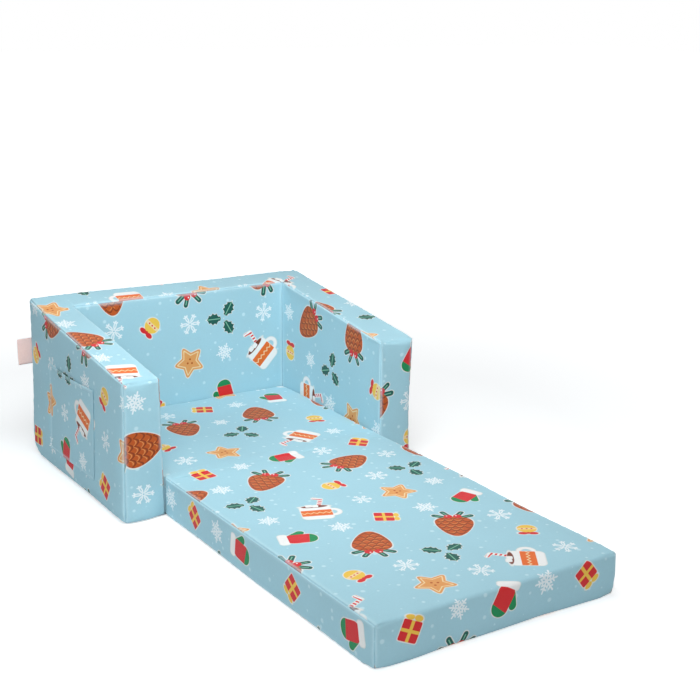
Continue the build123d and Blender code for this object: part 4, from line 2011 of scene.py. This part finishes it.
@dataclass
class BookPocket:
    """Patch pocket on the outside of one arm, sewn on three sides."""

    side: Side
    front_y: float = -98.0
    rear_y: float = 117.0
    low_z: float = 42.0
    mouth_z: float = 212.0
    sag: float = 3.0
    sag_power: float = 1.3
    bulge: float = 2.8
    bulge_low: float = 0.30
    bulge_power: float = 1.6
    side_swell: tuple[float, float] = (46.0, 1.7)
    low_swell: tuple[float, float] = (24.0, 1.5)
    hem_bead: tuple[float, float, float] = (0.3, 1.2, 1.1)
    stitch_groove: tuple[float, float] = (0.75, 1.2)
    wave_height: float = 0.25
    wave_lengths: tuple[float, float] = (13.0, 31.0)
    wave_calm: float = 20.0
    face_x: float = 304.9
    cloth: float = 0.9
    stitch_inset: float = 3.4
    stitch_out: float = 0.1
    seam_shift: float = 0.4
    print_shift: tuple[float, float] = (16.0, -9.0)
    hem_cloth: float = 0.4
    hem_columns: tuple[float, float, int] = (0.004, 0.996, 64)
    hem_share: float = 0.955
    hem_drop: float = 7.6
    # Distance from a seam that is given to every point of the hem, where the painted highlight of a seam lip
    # is strongest.
    hem_lip: float = 3.2
    hem_profile: tuple[tuple[float, float], ...] = (
        (-5.6, 0.03), (-5.2, 0.3), (-3, 0.42), (-0.6, 0.4), (0.3, 0.0),
        (0.4, -0.9), (-0.5, -1.6), (-3, -1.75), (-5.6, -1.6),
    )  # fmt: skip

    @property
    def name(self) -> str:
        """The side's name, as the nodes have it."""
        return self.side.name.lower()

    @property
    def size(self) -> tuple[float, float]:
        """Width and height of the patch, in mm."""
        return self.rear_y - self.front_y, self.mouth_z - self.low_z

    def surface(self, across: Points, up: Points) -> Points:
        """Outer face of the pocket.

        Args:
            across: Share of its width, from its front edge.
            up: Share of its height.

        Returns:
            Places in mm.
        """
        y = self.front_y + (self.rear_y - self.front_y) * across
        mouth = self.mouth_z - self.sag * np.sin(np.pi * across) ** self.sag_power
        z = self.low_z + (mouth - self.low_z) * up
        sides, rise = np.minimum(y - self.front_y, self.rear_y - y), z - self.low_z
        inset = np.minimum(sides, rise)
        swell = self.bulge * (self.bulge_low + (1 - self.bulge_low) * up**self.bulge_power)
        for distance, (reach, power) in ((sides, self.side_swell), (rise, self.low_swell)):
            swell = swell * (1 - np.exp(-((distance / reach) ** power)))
        (bead, place, reach), (depth, groove) = self.hem_bead, self.stitch_groove
        hem = 1.0 + bead * bell(inset - place, reach) - depth * bell(inset - self.stitch_inset, groove)
        first, second = self.wave_lengths
        wave = self.wave_height * np.sin(y / first + z / second) * (1 - bell(inset, self.wave_calm))
        out = self.face_x + FRAME.lean(self.side.value, y, z) + hem + swell + wave
        return np.stack([self.side.value * out, y, z], -1)

    def sheet(self, part: str, places: Points, thickness: float, seam_away: Points, cloth: Material) -> Piece:
        """Makes one of the pocket's cloths, with its print nearly in line with the arm's.

        Args:
            part: Last part of its name.
            places: Its grid of places, in mm.
            thickness: Its thickness, in mm.
            seam_away: Distance of each point from its seam.
            cloth: Its finish.

        Returns:
            The piece.
        """
        flat = ARM_SIDE_FLATS[self.side.value].lay(places) + np.array(self.print_shift)
        sheet = Sheet(f"{self.name}_pocket_{part}", places, flat, self.side is Side.LEFT, thickness)
        return sheet.make(cloth, seam_away)

    def patch(self, cloth: Material) -> Piece:
        """Builds the patch.

        Args:
            cloth: Its finish.

        Returns:
            The piece.
        """
        width, height = self.size
        lines = grid_lines(0, width) / width, grid_lines(0, height, False) / height
        across, up = np.meshgrid(*lines, indexing="ij")
        inset = np.minimum(np.minimum(across, 1 - across) * width, up * height).reshape(-1)
        # The patch's sewn edges get the painted seam highlight and shade.
        return self.sheet("patch", self.surface(across, up), self.cloth, inset + self.seam_shift, cloth)

    def hem(self, cloth: Material) -> Piece:
        """Builds the folded hem along the mouth.

        Args:
            cloth: Its finish.

        Returns:
            The piece.
        """
        across = np.linspace(*self.hem_columns)
        edge, below = (self.surface(across, np.full_like(across, share)) for share in (1.0, self.hem_share))
        rows = []
        for drop, out in self.hem_profile:
            place = edge + (below - edge) * np.clip(-drop / self.hem_drop, 0, 1)
            place[:, 2] = edge[:, 2] + drop
            place[:, 0] += self.side.value * out
            rows.append(place)
        # The whole hem sits at the seam lip's distance, so it gets the painted highlight all over.
        seam_away = np.full(len(across) * len(rows), self.hem_lip)
        return self.sheet("hem", np.stack(rows, 1), self.hem_cloth, seam_away, cloth)

    def stitches(self, thread: Material) -> Piece:
        """Sews the row that holds the patch on the arm.

        Args:
            thread: The thread's finish.

        Returns:
            The piece.
        """
        a, b = (self.stitch_inset / size for size in self.size)
        down = [(a, 1 - t * (1 - b)) for t in np.linspace(0.02, 1, 50)]
        along = [(a + t * (1 - 2 * a), b) for t in np.linspace(0, 1, 60)][1:-1]
        up = [(1 - a, b + t * (1 - b)) for t in np.linspace(0, 0.98, 50)]
        path = self.surface(*np.array(down + along + up).T)
        path[:, 0] += self.side.value * self.stitch_out
        return StitchRow(f"{self.name}_pocket_stitches", path).build(thread, Slot.CLOTH)

    def build(self, wardrobe: Wardrobe) -> None:
        """Builds the pocket.

        Args:
            wardrobe: The finishes.
        """
        patch, hem = self.patch(wardrobe.cloth), self.hem(wardrobe.cloth)
        rows = self.stitches(wardrobe.thread)
        hand_over(patch, Slot.CLOTH, f"{self.name}_pocket")
        hand_over(hem, Slot.CLOTH, f"{self.name}_pocket_binding")


@dataclass
class SideTag:
    """Bare folded tag in the rear left seam."""

    seam_x: float = -300.5
    reach_x: float = -332.0
    middle_y: float = 219.5
    low_z: float = 186.0
    high_z: float = 238.0
    gap: float = 0.75
    gap_at_seam: float = 0.35
    bend: float = 0.9
    curl: float = 1.3
    curl_reach: float = 26.0
    thickness: float = 0.28
    rows: int = 15
    steps: int = 14
    turns: int = 9

    def build(self, wardrobe: Wardrobe) -> None:
        """Builds and dresses the tag.

        Args:
            wardrobe: The finishes.
        """
        out = np.linspace(0, 1, self.steps)
        turn = np.radians(np.linspace(-90, 90, self.turns)[1:-1])
        length = abs(self.reach_x - self.seam_x) - self.gap
        gap = self.gap * (self.gap_at_seam + (1 - self.gap_at_seam) * out)
        across = np.concatenate([-length * out, -length - self.gap * np.cos(turn), -length * out[::-1]])
        aside = np.concatenate([-gap, self.gap * np.sin(turn), gap[::-1]])
        run = np.cumsum([0, *np.hypot(np.diff(across), np.diff(aside))])
        z = np.linspace(self.low_z, self.high_z, self.rows)[None, :]
        curl = self.curl * ((z - (self.low_z + self.high_z) / 2) / self.curl_reach) ** 2
        bend = (across / length)[:, None] ** 2 * (self.bend + curl)
        parts = (self.seam_x + across[:, None], self.middle_y + aside[:, None] - bend, z)
        places = np.stack(np.broadcast_arrays(*parts), -1)
        flat = np.stack(np.broadcast_arrays(run[:, None], z), -1)
        piece = Sheet("bare_side_tag", places, flat, True, self.thickness, 0.0).make(wardrobe.tag)
        hand_over(piece, Slot.TAG, "side_tag")


@dataclass
class BaseCloth:
    """Non-slip cloth under the arms, the back and the seat base, with its hem and stitches."""

    half_width: float = 294.0
    front_y: float = -221.0
    rear_y: float = 203.0
    low_z: float = 0.02
    thickness: float = 0.9
    columns: int = 90
    rows: int = 64
    hem: tuple[float, float] = (0.35, 2.0)
    wave: tuple[float, float, float] = (0.08, 17.0, 23.0)
    stitch_inset: float = 7.0
    stitch_z: float = 0.16

    def build(self, wardrobe: Wardrobe) -> None:
        """Builds and dresses the cloth.

        Args:
            wardrobe: The finishes.
        """
        x, y = np.meshgrid(
            np.linspace(-self.half_width, self.half_width, self.columns),
            np.linspace(self.front_y, self.rear_y, self.rows),
            indexing="ij",
        )
        side = np.minimum(self.half_width - np.abs(x), np.minimum(y - self.front_y, self.rear_y - y))
        (rise, reach), (wave, first, second) = self.hem, self.wave
        z = self.low_z + rise * bell(side, reach) + wave * (1 + np.sin(x / first) * np.cos(y / second))
        places = np.stack([x, y, z], -1)
        piece = Sheet("non_slip_base", places, places[..., :2], True, self.thickness).make(wardrobe.base)
        inset = self.stitch_inset
        right, low, high = self.half_width - inset, self.front_y + inset, self.rear_y - inset
        corners = [(-right, low), (right, low), (right, high), (-right, high), (-right, low)]
        path = [(*corner, self.stitch_z) for corner in corners]
        row = StitchRow("base_cloth_stitches", path, pitch=5.0, length=3.6, thickness=0.3)
        stitches = row.build(wardrobe.thread, Slot.BASE)
        hand_over(piece, Slot.BASE, "base_cloth")


@dataclass
class RearZip:
    """Coil zip in the rear of the back, by which the cover comes off."""

    half_length: float = 183.0
    middle_z: float = 55.0
    half_tape: float = 13.0
    tape_y: float = 222.9
    tape_cloth: float = 0.5
    tape_columns: int = 120
    tape_steps: tuple[float, ...] = (0.0, 0.6, 2.8, 3.6, 4.4, 6.0, 9.0, 12.4, 13.0)
    rib: tuple[float, float, float] = (0.25, 3.6, 0.7)
    groove: tuple[float, float] = (0.25, 0.5)
    teeth_y: float = 224.1
    teeth_half: float = 178.0
    teeth_z: float = 1.15
    tooth_pitch: float = 2.8
    tooth_slant: float = 12.0
    stitch_z: float = 10.6
    stitch_out: float = 0.1
    stitch_inset: float = 3.0

    def tape(self, cloth: Material) -> Piece:
        """Builds both halves of the tape as one woven strip with a rib beside the teeth.

        Args:
            cloth: Its finish.

        Returns:
            The piece.
        """
        across = np.linspace(-self.half_length, self.half_length, self.tape_columns)
        x, up = np.meshgrid(across, both_ways(self.tape_steps), indexing="ij")
        (height, place, reach), (depth, width) = self.rib, self.groove
        y = self.tape_y + height * bell(np.abs(up) - place, reach) - depth * bell(up, width)
        places, flat = np.stack([x, y, self.middle_z + up], -1), np.stack([x, up], -1)
        return Sheet("zip_tape", places, flat, True, self.tape_cloth).make(cloth)

    def build(self, wardrobe: Wardrobe) -> None:
        """Builds the zip: its teeth, its stitches and its tape.

        Args:
            wardrobe: The finishes.
        """
        tape, pieces = self.tape(wardrobe.tape), []
        for name, way in (("low", -1), ("high", 1)):
            z, start = self.middle_z + way * self.teeth_z, -self.teeth_half + self.tooth_pitch / 2 * (way > 0)
            path = [(x, self.teeth_y, z) for x in (start, self.teeth_half)]
            row = CoilRow(f"zip_teeth_{name}", path, self.tooth_pitch, -way * self.tooth_slant)
            pieces.append(row.build(wardrobe.teeth, Slot.TEETH, *["rear_zip_teeth"] * (way < 0)))
        half = self.half_length - self.stitch_inset
        for name, way in (("low", -1), ("high", 1)):
            y, z = self.tape_y + self.stitch_out, self.middle_z + way * self.stitch_z
            path = [(x, y, z) for x in (-half, half)]
            row = StitchRow(f"zip_stitches_{name}", path, pitch=3.2, length=2.3, thickness=0.28)
            pieces.append(row.build(wardrobe.thread, Slot.TAPE))
        hand_over(tape, Slot.TAPE, "rear_zip_tape")


@dataclass
class CarriedParts:
    """CAD nodes that keep their shape and get a better finish."""

    metal: tuple[str, ...] = ("stops", "slider", "pull")
    foam: tuple[str, ...] = ("left_arm", "right_arm", "back", "seat_base", "flip_seat", "back_section")

    def build(self, wardrobe: Wardrobe) -> None:
        """Dresses the nodes.

        Args:
            wardrobe: The finishes.
        """
        finishes = {f"rear_zip_{part}": wardrobe.metal for part in self.metal}
        finishes.update({f"{part}_foam": wardrobe.foam for part in self.foam})
        for name, material in finishes.items():
            dress(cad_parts[name], material)
            log.info("%s: carried over", name)


# Studio, with its sizes in metres


@dataclass(frozen=True)
class Lamp:
    """Soft square light."""

    name: str
    place: Place
    size: float
    power: float
    tint: Place
    target: Place = (0.0, -0.3, 0.1)

    def build(self) -> None:
        """Hangs the light and turns it to its target."""
        data = bpy.data.lights.new(self.name, "AREA")
        data.shape, data.size, data.energy, data.color = "SQUARE", self.size, self.power, self.tint
        lamp = add_object(self.name, data)
        lamp.location = self.place
        lamp.rotation_mode = "QUATERNION"
        lamp.rotation_quaternion = (Vector(self.target) - Vector(self.place)).to_track_quat("-Z", "Y")


WARM, COOL = (1.0, 0.985, 0.97), (0.83, 0.95, 1.0)
LAMPS = (
    Lamp("key", (-1.6, -2.8, 2.6), 2.0, 56.0, WARM),
    Lamp("left", (-3.4, -0.3, 2.2), 2.0, 30.5, COOL),
    Lamp("front", (0.2, -4.0, 1.2), 2.0, 15.8, COOL),
    Lamp("seat", (0.05, -0.6, 1.25), 0.7, 5.6, WARM, (0.05, 0.1, 0.15)),
    Lamp("inner", (-0.25, -0.4, 0.95), 0.5, 3.4, COOL, (0.28, 0.05, 0.12)),
    Lamp("rear", (0.6, 3.2, 2.2), 2.4, 30.0, WARM),
)


@dataclass
class Studio:
    """Floor, surroundings and camera."""

    azimuth: float = -35.284
    elevation: float = 18.092
    roll: float = 1.302
    focal_pixels: float = 1315.7
    centre: tuple[float, float] = (400.35, 410.9)
    place: Place = (-1.1547, -2.252, 0.9228)
    picture: float = 700.0
    sensor: float = 36.0
    clip: tuple[float, float] = (0.05, 50.0)
    sky: tuple[float, ...] = (0.8, 0.92, 1.0, 1)
    sky_strength: float = 0.04
    floor_reach: float = 14.0
    floor_drop: float = -0.0004
    floor_tint: tuple[float, ...] = (0.78, 0.79, 0.8, 1)
    glow: tuple[float, float] = (0.5, 0.6)
    glow_start: float = 0.8
    glow_reach: float = 1.4

    def camera(self) -> None:
        """Puts the camera where the photograph was taken from."""
        a, e, r = (math.radians(v) for v in (self.azimuth, self.elevation, self.roll))
        back = Vector((math.sin(a) * math.cos(e), -math.cos(a) * math.cos(e), math.sin(e)))
        level = (-back).cross(Vector((0, 0, 1))).normalized()
        upright = level.cross(-back)
        right = math.cos(r) * level + math.sin(r) * upright
        up = -math.sin(r) * level + math.cos(r) * upright
        data = bpy.data.cameras.new("photo_camera")
        data.sensor_width = self.sensor
        data.lens = self.focal_pixels / self.picture * self.sensor
        data.shift_x = (self.picture / 2 - self.centre[0]) / self.picture
        data.shift_y = (self.centre[1] - self.picture / 2) / self.picture
        data.clip_start, data.clip_end = self.clip
        camera = add_object("photo_camera", data)
        turn = Matrix((right, up, back)).transposed()
        camera.matrix_world = Matrix.Translation(Vector(self.place)) @ turn.to_4x4()
        bpy.context.scene.camera = camera

    def world(self) -> None:
        """Pale surroundings that the camera and reflections see as white."""
        world = bpy.data.worlds.new("studio")
        bpy.context.scene.world = world
        world.use_nodes = True
        maker = TreeMaker(world.node_tree)
        rays = maker.node("ShaderNodeLightPath").outputs
        kinds = ("Camera", "Glossy", "Transmission")
        camera, glossy, through = (maker.wire(rays[f"Is {kind} Ray"]) for kind in kinds)
        seen = camera.run("MAXIMUM", glossy).run("MAXIMUM", through)
        lit = maker.node("ShaderNodeBackground", {"Color": self.sky, "Strength": self.sky_strength})
        white = maker.node("ShaderNodeBackground", {"Color": WHITE, "Strength": 1.0})
        mix = maker.node("ShaderNodeMixShader", {0: seen, 1: lit, 2: white})
        maker.node("ShaderNodeOutputWorld", {0: mix})

    def floor(self) -> None:
        """Large pale floor that shows white and keeps the sofa's soft shadow."""
        mesh = bpy.data.meshes.new("studio_floor")
        signs = ((-1, -1), (1, -1), (1, 1), (-1, 1))
        corners = [(x * self.floor_reach, y * self.floor_reach, self.floor_drop) for x, y in signs]
        mesh.from_pydata(corners, [], [(0, 1, 2, 3)])
        piece = add_object("studio_floor", mesh)
        painter = Painter("studio_floor_look")
        away = painter.measure("LENGTH", painter.space())
        share = ((away - self.glow_start) / self.glow_reach).run("ADD", 0.0, clamp=True)
        seen = painter.wire(painter.node("ShaderNodeLightPath").outputs["Is Camera Ray"])
        least, more = self.glow
        glow = painter.node("ShaderNodeEmission", {"Color": WHITE, "Strength": (share * more + least) * seen})
        plain = painter.node("ShaderNodeBsdfDiffuse", {"Color": self.floor_tint})
        both = painter.node("ShaderNodeAddShader", {0: plain, 1: glow})
        painter.node("ShaderNodeOutputMaterial", {"Surface": both})
        dress(piece, painter.material)

    def build(self) -> None:
        """Sets up the studio."""
        bpy.context.scene.view_settings.view_transform = "Standard"
        self.camera()
        self.world()
        self.floor()
        for lamp in LAMPS:
            lamp.build()


def main() -> None:
    """Builds the studio and every sub-assembly in order."""
    Studio().build()
    wardrobe = Wardrobe()
    pockets = [BookPocket(side) for side in Side]
    covers, small = (FrameCover(), MattressCover(), FoldStrip()), (SideTag(), BaseCloth(), RearZip())
    for part in (*covers, *pockets, *small, CarriedParts()):
        part.build(wardrobe)


if __name__ == "__main__":
    main()
